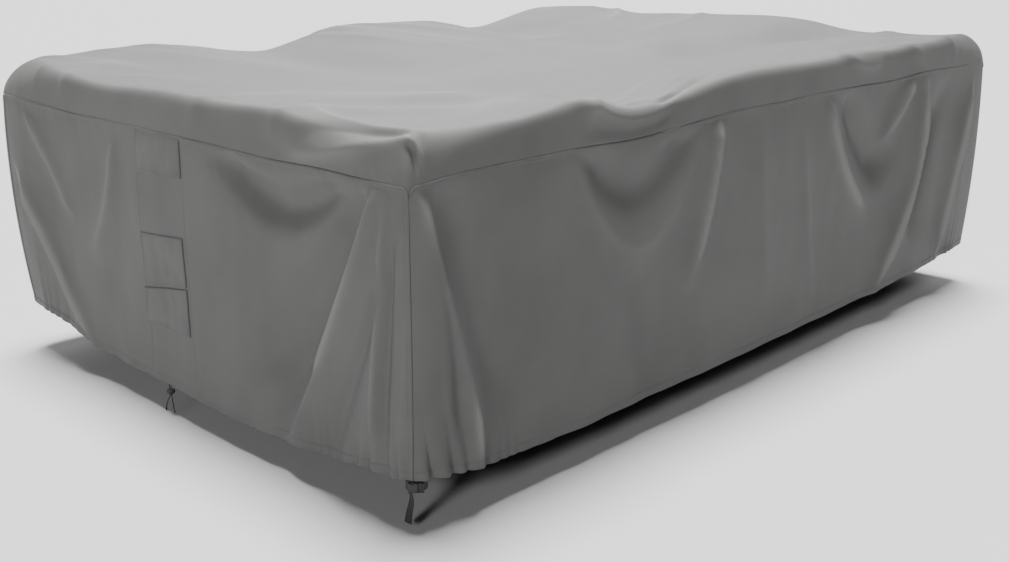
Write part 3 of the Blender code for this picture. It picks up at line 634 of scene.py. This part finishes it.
def on_panel(name, flat, drop, lift=0.0):
    """The point of a finished skirt at a flat coordinate and a distance below the seam, and its normal."""
    panel = panels[name]
    columns, rows = panel["points"].shape[:2]
    order = np.argsort(panel["flat"])
    i = np.interp(flat, panel["flat"][order], order.astype(float))
    total = np.interp(i, np.arange(columns), panel["total"])
    down = np.asarray(drop) / total
    order = np.argsort(panel["down"])
    j = np.interp(down, panel["down"][order], order.astype(float))
    low_i = np.clip(np.floor(i).astype(int), 0, columns - 2)
    low_j = np.clip(np.floor(j).astype(int), 0, rows - 2)
    u, v = (i - low_i)[..., None], (j - low_j)[..., None]

    def blend(values):
        near = values[low_i, low_j] * (1 - u) + values[low_i + 1, low_j] * u
        far = values[low_i, low_j + 1] * (1 - u) + values[low_i + 1, low_j + 1] * u
        return near * (1 - v) + far * v

    facing = blend(panel["normals"])
    return blend(panel["points"]) + facing * (np.asarray(lift)[..., None] + CLOTH_THICK / 2), facing


# ---- Felled seams ----
# The top's edge is turned under and lapped 10 mm over the skirts, and each end panel is lapped over the
# long panel beside it at the corners. The laps are double stitched and pucker slightly between stitches.
LAP_THICK = 0.0011
# Distance from the sewn edge, and height above the panel
LAP_SECTION = ((-0.0010, 0.0000), (0.0005, 0.0009), (0.0022, 0.0012), (0.0050, 0.0017), (0.0078, 0.0012),
               (0.0092, 0.0011), (0.0099, 0.0006), (0.0100, -0.0006))
CORNER_CRUSH = 0.357  # plan length per flat length of the cloth rounding a corner
THREAD_GREY = (0.115, 0.115, 0.113, 1)
STITCH_PITCH = 0.0060
STITCH_LONG = 0.0042
STITCH_WIDE = 0.0009
STITCH_PROUD = 0.0007
STITCH_LINES = (0.0022, 0.0078)  # from the lap's sewn edge
STITCH_LIFT = 0.0018
ALLOWANCE_WIDE = 0.010
CORNER_STEPS = 160


def full_drop(side, flats):
    """How far below the seam a skirt's lower edge lies."""
    order = np.argsort(panels[side]["flat"])
    return np.interp(flats, panels[side]["flat"][order], panels[side]["total"][order])


def lap_over(name, side, flats, drops, along_down=False):
    """A lapped edge laid on a panel: flats by drops name its edge, and its section steps away from it."""
    rows = []
    for step, rise in LAP_SECTION:
        wave = rise * (1 + 0.16 * np.sin(np.arange(len(flats)) * 1.9))
        if along_down:
            inward = -np.sign(flats) * step / CORNER_CRUSH
            rows.append(on_panel(side, flats + inward, drops, wave)[0])
        else:
            rows.append(on_panel(side, flats, drops + max(step, 0), wave)[0])
            rows[-1][:, 2] -= min(step, 0)
    points = np.stack(rows[::-1], axis=1)
    inside_out = (normals_of(points)[len(flats) // 2, 3] @ on_panel(side, flats[:1], drops[:1])[1][0]) < 0
    piece = lay_sheet(name, points[::-1] if inside_out else points, cloth, LAP_THICK)
    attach(piece, "root")
    return piece


def stitch_row(side, flats, drops, lift):
    """Places, headings and normals of the stitches along a line on a panel."""
    line, facing = on_panel(side, flats, drops, lift)
    run = run_along(line)
    at = np.arange(STITCH_PITCH / 2, run[-1], STITCH_PITCH)

    def values_at(where, values):
        return np.stack([np.interp(where, run, values[:, k]) for k in range(3)], axis=1)

    place, ahead, normal = values_at(at, line), values_at(at + STITCH_LONG / 2, line), values_at(at, facing)
    return [(Vector(p), Vector(q - p), Vector(n)) for p, q, n in zip(place, ahead, normal)]


def sew(name, stitches):
    """One mesh of raised stitches."""
    one = bmesh.new()
    bmesh.ops.create_uvsphere(one, u_segments=4, v_segments=4, radius=0.5)
    bmesh.ops.scale(one, vec=(STITCH_LONG, STITCH_WIDE, STITCH_PROUD * 2), verts=one.verts)
    shape = mesh_of(name + "_one", one)
    row = bmesh.new()
    for place, heading, normal in stitches:
        if heading.length < 1e-6:
            continue
        along = heading.normalized()
        across = normal.cross(along).normalized()
        up = along.cross(across)
        turn = Matrix((along, across, up)).transposed().to_4x4()
        turn.translation = place
        shape.transform(turn)
        row.from_mesh(shape)
        shape.transform(turn.inverted())
    bpy.data.meshes.remove(shape)
    piece = smooth_piece(name, mesh_of(name, row), thread)
    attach(piece, "root")
    return piece


def scaled(colour, share):
    return colour[0] * share, colour[1] * share, colour[2] * share, 1


def twisted_thread(name, colour):
    made, tree, shader = new_finish(name, Roughness=0.6)
    uneven = add_noise(tree, Scale=900.0, Detail=2.0)
    tree.links.new(add_tint(tree, uneven, scaled(colour, 0.7), colour), shader.inputs["Base Color"])
    return made


thread = twisted_thread("Grey thread", THREAD_GREY)
seam_stitches = []
for side in OUT:
    half = FLAT_Y if OUT[side][0] else FLAT_X
    count = 300 if OUT[side][0] else 420
    flats = crowded(np.linspace(-1, 1, count)) * half
    lap_over("seam_lap_" + side, side, flats, np.zeros(count))
    for below in STITCH_LINES:
        seam_stitches += stitch_row(side, flats, np.full(count, below), STITCH_LIFT)
for end in ("left", "right"):
    for flat, long_side in ((-FLAT_Y, "front"), (FLAT_Y, "back")):
        drops = np.linspace(0.006, full_drop(end, flat), CORNER_STEPS)
        corner = long_side + "_" + end
        lap_over("corner_lap_" + corner, end, np.full(CORNER_STEPS, flat), drops, along_down=True)
        for inward in STITCH_LINES:
            line = np.full(CORNER_STEPS, flat - math.copysign(inward / CORNER_CRUSH, flat))
            seam_stitches += stitch_row(end, line, drops, STITCH_LIFT)
        long_flat = math.copysign(FLAT_X, OUT[end][0])
        inner = []
        for side, edge, inward in (
            (end, flat, ALLOWANCE_WIDE),
            (end, flat, 0.0),
            (long_side, long_flat, 0.0),
            (long_side, long_flat, ALLOWANCE_WIDE),
        ):
            at = np.full(CORNER_STEPS, edge - math.copysign(inward / CORNER_CRUSH, edge))
            inner.append(on_panel(side, at, drops, np.full(CORNER_STEPS, -CLOTH_THICK - 0.0004))[0])
        allowance = lay_sheet("corner_allowance_" + corner, np.stack(inner, axis=1), cloth, LAP_THICK)
        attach(allowance, "root")
sew("seam_stitching", seam_stitches)

# ---- Hem ----
# The skirts' lower edge is turned up 22 mm inside and stitched along its upper edge, which leaves a channel
# for the draw cord.
hem_stitches = []
for side in OUT:
    half = FLAT_Y if OUT[side][0] else FLAT_X
    flats = crowded(np.linspace(-1, 1, 500)) * half
    hem_stitches += stitch_row(side, flats, full_drop(side, flats) - HEM_WIDE + 0.0022, 0.0002)
sew("hem_stitching", hem_stitches)

# ---- Vents ----
# Three pieces of the cover's cloth on the left end: an upper flap over a mesh vent, a patch below it, and
# a lower flap. The flaps are sewn along their top and sides and stand a little off the panel at their open
# edge. Two long rows of stitches hold the vents' backing.
VENT_CENTRE_Y = 0.09
VENT_COLUMNS = 60
VENT_ROWS = 36
# name, shift along the panel, width, then below the seam: top edge at the back and front side, low edge at
# the back and front side; lift off the panel at the top and at the low edge
VENT_PIECES = (
    ("vent_flap_upper", 0.000, 0.230, 0.006, 0.006, 0.120, 0.113, 0.0022, 0.0085),
    ("vent_patch", 0.012, 0.230, 0.303, 0.282, 0.464, 0.424, 0.0022, 0.0026),
    ("vent_flap_lower", 0.014, 0.235, 0.470, 0.430, 0.574, 0.568, 0.0024, 0.0085),
)
VENT_STITCH_LINES = (0.004, 0.010)  # in from each edge
BACKING_ROWS_Y = (-0.028, 0.208)


def sloped(front, back, a):
    """The height of a vent's edge between its front side at -1 and its back side at 1."""
    return front + (back - front) * (1 + a) / 2


def vent_lift(top, low, a, b):
    return top + (low - top) * ease(b) * (1 - a**4)


vent_stitches = []
for name, shift, wide, back_top, front_top, back_low, front_low, lift_top, lift_low in VENT_PIECES:
    a, b = np.meshgrid(np.linspace(-1, 1, VENT_COLUMNS + 1), np.linspace(0, 1, VENT_ROWS + 1),
                       indexing="ij")
    y = VENT_CENTRE_Y + shift + a * wide / 2
    top_edge = sloped(front_top, back_top, a)
    drop = top_edge + (sloped(front_low, back_low, a) - top_edge) * b
    crumple = 0.0012 * rumple(y * 26, drop * 22, 21) * (1 - a**6) * ease(b / 0.1)
    lift = vent_lift(lift_top, lift_low, a, b) + crumple - CLOTH_THICK / 2
    piece = lay_sheet(name + "_cloth", on_panel("left", y, drop, lift)[0], cloth, CLOTH_THICK)
    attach(piece, "root")
    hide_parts(name)
    for inward in VENT_STITCH_LINES:
        aside, below = inward * 2 / wide, inward / (back_low - back_top)
        for a, b in (
            (np.full(80, -1 + aside), np.linspace(0.02, 0.98, 80)),
            (np.full(80, 1 - aside), np.linspace(0.02, 0.98, 80)),
            (np.linspace(-0.97, 0.97, 120), np.full(120, below)),
            (np.linspace(-0.97, 0.97, 120), np.full(120, 1 - below)),
        ):
            tops = sloped(front_top, back_top, a)
            vent_stitches += stitch_row("left", VENT_CENTRE_Y + shift + a * wide / 2,
                                        tops + (sloped(front_low, back_low, a) - tops) * b,
                                        vent_lift(lift_top, lift_low, a, b) + 0.0002)
for flat_y in BACKING_ROWS_Y:
    vent_stitches += stitch_row("left", np.full(300, flat_y), np.linspace(0.13, 0.72, 300),
                                np.full(300, 0.0003))
sew("vent_stitching", vent_stitches)

# ---- Cord lock and draw cord ----
# A black moulded spring toggle on the hem's draw cord. The cord is 3.4 mm braided polyester; it comes down
# out of the hem channel, runs through the lock, and its two free ends hang below it, each with a knot.
LOCK_PLACE = Vector((-1.41986, 0.118, -0.82377))
LOCK_PITCH = math.radians(70)
LOCK_TOP = 0.0122
BARREL_PROFILE = (
    (0.0000, -0.0100), (0.0066, -0.0100), (0.0080, -0.0094), (0.0088, -0.0080), (0.0088, -0.0066),
    (0.0079, -0.0060), (0.0079, -0.0052), (0.0088, -0.0046), (0.0089, 0.0046), (0.0079, 0.0052),
    (0.0079, 0.0060), (0.0088, 0.0066), (0.0088, 0.0082), (0.0080, 0.0095), (0.0068, 0.0099),
    (0.0066, 0.0088), (0.0062, 0.0088), (0.0062, 0.0166), (0.0056, 0.0174), (0.0044, 0.0179),
    (0.0030, 0.0174), (0.0000, 0.0171),
)
CORD_THICK = 0.0034
CORD_STARTS = {"left": 0.004, "right": -0.004}
HEM_EXITS = {"left": (-1.41983, 0.122, -0.8035), "right": (-1.41989, 0.114, -0.8036)}
CORD_PATHS = {
    "left": (
        (-1.41986, 0.12180, -0.83370), (-1.41986, 0.12200, -0.83627), (-1.42036, 0.12370, -0.83956),
        (-1.42086, 0.12538, -0.84280), (-1.42136, 0.12711, -0.84615), (-1.42186, 0.12900, -0.84977),
        (-1.42231, 0.13070, -0.85294), (-1.42280, 0.13255, -0.85632), (-1.42327, 0.13445, -0.85980),
        (-1.42365, 0.13630, -0.86331), (-1.42386, 0.13800, -0.86677), (-1.42385, 0.13953, -0.87017),
        (-1.42367, 0.14094, -0.87357), (-1.42340, 0.14230, -0.87697), (-1.42311, 0.14363, -0.88037),
        (-1.42286, 0.14500, -0.88377),
    ),
    "right": (
        (-1.41986, 0.11440, -0.83080), (-1.41986, 0.11430, -0.83340), (-1.41986, 0.11400, -0.83627),
        (-1.42026, 0.11308, -0.83762), (-1.42086, 0.11170, -0.83964), (-1.42136, 0.11055, -0.84132),
        (-1.42186, 0.10941, -0.84301), (-1.42286, 0.10700, -0.84677), (-1.42370, 0.10491, -0.84997),
        (-1.42461, 0.10262, -0.85342), (-1.42539, 0.10053, -0.85704), (-1.42586, 0.09900, -0.86077),
        (-1.42589, 0.09826, -0.86463), (-1.42575, 0.09812, -0.86664), (-1.42561, 0.09806, -0.86864),
        (-1.42541, 0.09807, -0.87068), (-1.42520, 0.09809, -0.87272), (-1.42486, 0.09800, -0.87677),
    ),
}
EYE_RADIUS = 0.0023
EYE_LIP = 0.0008
EYE_OUT = 0.0094  # from the barrel's axis
KNOT_REACH = 0.0042
KNOT_SCALE = 0.00085
KNOT_STEPS = 72
KNOT_CORD_RADIUS = 0.0013  # pulled tight
CORD_BLACK = (0.010, 0.010, 0.0105, 1)
PLASTIC_BLACK = (0.008, 0.008, 0.0085, 1)


def moulded_plastic(name, colour):
    """Injection moulded nylon: fine spark texture, faint flow marks and a soft gloss."""
    made, tree, shader = new_finish(name)
    grain = add_noise(tree, Scale=2600.0, Detail=3.0)
    flow = add_noise(tree, Scale=130.0, Detail=4.0, Distortion=0.6)
    tree.links.new(add_bump(tree, grain, 0.25, 0.00008).outputs["Normal"], shader.inputs["Normal"])
    gloss = add_node(tree, "ShaderNodeMapRange", To_Min=0.42, To_Max=0.60)
    tree.links.new(flow, gloss.inputs["Value"])
    tree.links.new(gloss.outputs["Result"], shader.inputs["Roughness"])
    tree.links.new(add_tint(tree, flow, colour, scaled(colour, 1.9)), shader.inputs["Base Color"])
    return made


def raised_weave(tree, shader, weave, depth, strength, dark, light):
    """Threads that stand up by a depth, with painted shade between them."""
    tree.links.new(add_bump(tree, weave, strength, depth).outputs["Normal"], shader.inputs["Normal"])
    # Painted shade and light: the colour darkens between the threads and lightens on their tops
    tree.links.new(add_tint(tree, weave, dark, light), shader.inputs["Base Color"])


def braided_cord(name, colour):
    """Round braid: two sets of strands crossing at 45 degrees."""
    made, tree, shader = new_finish(name, Roughness=0.62)
    place = tree.nodes.new("ShaderNodeTexCoord")
    strands = []
    for slant in (-1, 1):
        lie = add_node(tree, "ShaderNodeMapping", Rotation=(slant * math.radians(45), 0, 0))
        tree.links.new(place.outputs["Object"], lie.inputs["Vector"])
        strands.append(add_threads(tree, lie.outputs["Vector"], "Z", 0.0015))
    raised_weave(tree, shader, crossed(tree, "MAXIMUM", strands), 0.0003, 0.8, scaled(colour, 0.4),
                 scaled(colour, 1.6))
    return made


def finish_piece(name, shape, finish, place):
    """The object for a shape, moved to its place in its own mesh."""
    shape.transform(place)
    bmesh.ops.remove_doubles(shape, verts=shape.verts, dist=1e-6)
    bmesh.ops.recalc_face_normals(shape, faces=shape.faces)
    piece = smooth_piece(name, mesh_of(name, shape), finish)
    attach(piece, "root")
    return piece


def spin_round(shape, steps):
    """Turns a shape's outline once round Z."""
    bmesh.ops.spin(shape, geom=shape.verts[:] + shape.edges[:], cent=(0, 0, 0), axis=(0, 0, 1),
                   angle=2 * math.pi, steps=steps, use_merge=True, use_duplicate=False)


def turned_barrel(profile):
    """A profile of radius and height as a round body."""
    shape = bmesh.new()
    verts = [shape.verts.new((radius, 0, height)) for radius, height in profile]
    for pair in zip(verts, verts[1:]):
        shape.edges.new(pair)
    spin_round(shape, 40)
    return shape


def cord_curve(name, path, finish, closed=False):
    curve = bpy.data.curves.new(name, "CURVE")
    curve.dimensions = "3D"
    curve.bevel_depth = CORD_THICK / 2
    curve.bevel_resolution = 5
    curve.use_fill_caps = True
    spline = curve.splines.new("POLY")
    spline.points.add(len(path) - 1)
    for point, place in zip(spline.points, path):
        point.co = (*place, 1)
    spline.use_cyclic_u = closed
    curve.materials.append(finish)
    return put_in_scene(name, curve)


toggle_plastic = moulded_plastic("Black toggle plastic", PLASTIC_BLACK)
braid = braided_cord("Black braid", CORD_BLACK)
lock_turn = Matrix.Translation(LOCK_PLACE) @ Matrix.Rotation(LOCK_PITCH, 4, "X")
barrel = finish_piece("toggle_barrel", turned_barrel(BARREL_PROFILE), toggle_plastic, lock_turn)
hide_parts("cord_lock")
for name, start in CORD_STARTS.items():
    slope = -start / math.tan(LOCK_PITCH)
    for end, height in (("top", slope + EYE_OUT), ("foot", slope - EYE_OUT)):
        lip = bmesh.new()
        bmesh.ops.create_circle(lip, segments=10, radius=EYE_LIP)
        bmesh.ops.rotate(lip, matrix=Matrix.Rotation(math.pi / 2, 3, "X"), verts=lip.verts)
        bmesh.ops.translate(lip, vec=(EYE_RADIUS, 0, 0), verts=lip.verts)
        spin_round(lip, 24)
        eye = finish_piece("toggle_eye_" + end + "_" + name, lip, toggle_plastic,
                           Matrix.Translation(LOCK_PLACE + Vector((0, start, height))))
    foot = LOCK_PLACE + Vector((0, start, LOCK_TOP - 0.006))
    hanging = cord_curve("draw_cord_run_" + name, (HEM_EXITS[name], foot), braid)
    route = [Vector(point) for point in CORD_PATHS[name]]
    heading = (route[-1] - route[-2]).normalized()
    knot_place = route[-1] + heading * KNOT_REACH
    tied = []
    for k in range(KNOT_STEPS):
        t = k / KNOT_STEPS * 2 * math.pi
        across, up = math.sin(t) + 2 * math.sin(2 * t), math.cos(t) - 2 * math.cos(2 * t)
        tied.append(knot_place + Vector((math.sin(3 * t), across, up)) * KNOT_SCALE)
    wound = cord_curve("knot_path_" + name, tied, braid, closed=True)
    wound.data.bevel_depth = KNOT_CORD_RADIUS
    knot_mesh = bpy.data.meshes.new_from_object(wound)
    knot_mesh.name = "cord_knot_tied_" + name
    knot = put_in_scene("cord_knot_tied_" + name, knot_mesh)
    bpy.data.objects.remove(wound)
    free = cord_curve("cord_free_" + name, route, braid)
    for piece, node in ((hanging, "draw_cord_"), (knot, "cord_knot_"), (free, "cord_end_")):
        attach(piece, "root")
        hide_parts(node + name)

# ---- Corner strap ----
# Black 25 mm polypropylene webbing at the near corner. A tab sewn inside the hem carries a loop for the
# furniture's leg, closed by a side release buckle, and the webbing's free end hangs below it.
STRAP_PLACE = Vector((-1.363, -0.893, -0.7805))
OUTWARD = Vector((-math.sqrt(0.5), -math.sqrt(0.5), 0))
ACROSS = Vector((math.sqrt(0.5), -math.sqrt(0.5), 0))
BAND_RADIUS = 0.0260
BAND_WIDE = 0.025
BAND_THICK = 0.0016
TAB_TALL = 0.034
TAIL_LONG = 0.078
BUCKLE_DEEP = 0.009
BUCKLE_OFF_BAND = 0.0013
PLATE_BEVEL = 0.0007
WEBBING_BLACK = (0.010, 0.010, 0.0105, 1)
SOCKET_OUTLINE = (
    (-0.0190, -0.0118), (-0.0180, -0.0128), (-0.0125, -0.0132), (-0.0118, -0.0090), (-0.0030, -0.0090),
    (-0.0022, -0.0132), (0.0040, -0.0128), (0.0040, 0.0128), (-0.0022, 0.0132), (-0.0030, 0.0090),
    (-0.0118, 0.0090), (-0.0125, 0.0132), (-0.0180, 0.0128), (-0.0190, 0.0118),
)
PRONG_OUTLINE = (
    (-0.0116, 0.0086), (-0.0116, 0.0112), (-0.0108, 0.0130), (-0.0090, 0.0134), (-0.0060, 0.0130),
    (-0.0024, 0.0118), (-0.0024, 0.0086),
)
LADDER_OUTLINE = (
    (0.0046, -0.0126), (0.0180, -0.0128), (0.0190, -0.0118), (0.0190, 0.0118), (0.0180, 0.0128),
    (0.0046, 0.0126),
)


def webbing_weave(name, colour):
    """Flat webbing: ribs of warp along its length, crossed by fine weft, slightly shiny."""
    made, tree, shader = new_finish(name, Roughness=0.55)
    flat = cloth_map(tree)
    ribs = [add_threads(tree, flat, "Y", 0.0016, 0.4), add_threads(tree, flat, "X", 0.0011, 0.4)]
    raised_weave(tree, shader, crossed(tree, "MULTIPLY", ribs), 0.0003, 0.7, scaled(colour, 0.5),
                 scaled(colour, 1.7))
    return made


def lay_webbing(name, rows, across, place):
    """A strip of webbing: rows along it by steps across it, each moved by place(along, aside)."""
    points = [[place(a, b) for b in np.linspace(-1, 1, across)] for a in np.linspace(0, 1, rows)]
    points = np.array(points)
    piece = lay_sheet(name, points, webbing, BAND_THICK)
    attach(piece, "root")
    return piece


def around_leg(along, aside):
    turn = 2 * math.pi * along
    radius = BAND_RADIUS + 0.0003 * math.sin(3 * turn)
    rim = ACROSS * math.sin(turn) * radius - OUTWARD * math.cos(turn) * radius
    return STRAP_PLACE + rim + Vector((0, 0, aside * BAND_WIDE / 2))


def up_inside_hem(along, aside):
    lean = -0.0014 + 0.0006 * math.sin(along * 4)
    return (STRAP_PLACE - OUTWARD * (BAND_RADIUS + lean) + ACROSS * aside * 0.0055
            + Vector((0, 0, -BAND_WIDE / 2 + 0.004 + along * (BAND_WIDE + TAB_TALL - 0.006))))


def hang_tail(along, aside):
    turn = math.radians(20 + 25 * along)
    top = STRAP_PLACE + OUTWARD * (BAND_RADIUS + 0.004) - ACROSS * 0.012
    wide = (ACROSS * math.sin(turn) + OUTWARD * math.cos(turn)) * aside * BAND_WIDE / 2
    curl = ACROSS * (-0.010 * along**2 + 0.0012 * math.sin(along * 7))
    return top + wide + curl + Vector((0, 0, -0.0155 - TAIL_LONG * along))


def moulded_plate(name, outline, deep, lift, mirrored=False):
    """A plate cut to an outline in the buckle's face, with eased edges."""
    plate = bmesh.new()
    sign = -1 if mirrored else 1
    face = plate.faces.new([plate.verts.new((x, -deep / 2, z * sign)) for x, z in outline])
    risen = bmesh.ops.extrude_face_region(plate, geom=[face])["geom"]
    risen = [v for v in risen if isinstance(v, bmesh.types.BMVert)]
    bmesh.ops.translate(plate, vec=(0, deep, 0), verts=risen)
    bmesh.ops.bevel(plate, geom=plate.edges[:], offset=PLATE_BEVEL, affect="EDGES", segments=2, profile=0.5,
                    material=-1)
    place = STRAP_PLACE + OUTWARD * (BAND_RADIUS + BUCKLE_OFF_BAND + BUCKLE_DEEP / 2 + lift)
    turn = Matrix((ACROSS, OUTWARD, Vector((0, 0, 1)))).transposed().to_4x4()
    piece = finish_piece(name, plate, toggle_plastic, Matrix.Translation(place) @ turn)
    return piece


webbing = webbing_weave("Black webbing", WEBBING_BLACK)
loop_band = lay_webbing("strap_loop_band", 97, 9, around_leg)
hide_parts("strap_loop")
lay_webbing("strap_tab", 17, 5, up_inside_hem)
tail = lay_webbing("strap_tail_end", 33, 9, hang_tail)
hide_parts("strap_tail")
socket = moulded_plate("buckle_socket", SOCKET_OUTLINE, BUCKLE_DEEP, 0)
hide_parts("strap_buckle")
moulded_plate("buckle_prong_top", PRONG_OUTLINE, 0.0052, 0)
moulded_plate("buckle_prong_foot", PRONG_OUTLINE, 0.0052, 0, mirrored=True)
moulded_plate("buckle_ladder", LADDER_OUTLINE, 0.0054, -0.0010)
for bar, x in enumerate((0.0068, 0.0118, 0.0168)):
    near, far = x - 0.0012, x + 0.0012
    moulded_plate("buckle_bar_%d" % (bar + 1),
                  ((near, -0.0122), (far, -0.0122), (far, 0.0122), (near, 0.0122)), 0.0040, 0.0018)

# ---- Floor, light and camera ----
# A plain pale studio floor. A large soft light stands almost overhead, with a weaker one behind to the
# right and one low on the left for the shape of the folds.
FLOOR_BELOW = 0.893
FLOOR_REACH = 160
FLOOR_GREY = (0.38, 0.38, 0.38, 1)
SKY_STRENGTH = 0.06
# name, direction it comes from, strength, spread in degrees
LIGHTS = (
    ("key", (0.12, 0.14, 0.98), 14.0, 24),
    ("back", (0.58, 0.62, 0.45), 1.35, 30),
    ("side", (-0.80, -0.32, 0.40), 2.0, 12),
)
CAMERA_PLACE = (-3.11, -2.89, 0.55)
CAMERA_FORWARD = (0.6830, 0.6665, -0.2990)
LENS = 43.71

slab = bmesh.new()
bmesh.ops.create_grid(slab, x_segments=1, y_segments=1, size=FLOOR_REACH)
bmesh.ops.translate(slab, vec=(0, 0, -FLOOR_BELOW), verts=slab.verts)
floor = put_in_scene("floor", mesh_of("floor", slab))
floor.data.materials.append(new_finish("Studio floor", Base_Color=FLOOR_GREY, Roughness=0.9)[0])

sky = bpy.data.worlds.new("Studio")
bpy.context.scene.world = sky
sky.use_nodes = True
sky.node_tree.nodes["Background"].inputs["Color"].default_value = (1, 1, 1, 1)
sky.node_tree.nodes["Background"].inputs["Strength"].default_value = SKY_STRENGTH

for name, towards, strength, spread in LIGHTS:
    light = bpy.data.lights.new(name, "SUN")
    light.energy = strength
    light.angle = math.radians(spread)
    lamp = put_in_scene(name, light)
    lamp.rotation_euler = Vector(towards).to_track_quat("Z", "Y").to_euler()

lens = bpy.data.cameras.new("camera")
lens.lens = LENS
lens.sensor_width = 36
camera = put_in_scene("camera", lens)
camera.location = CAMERA_PLACE
camera.rotation_euler = Vector(CAMERA_FORWARD).to_track_quat("-Z", "Y").to_euler()
bpy.context.scene.camera = camera
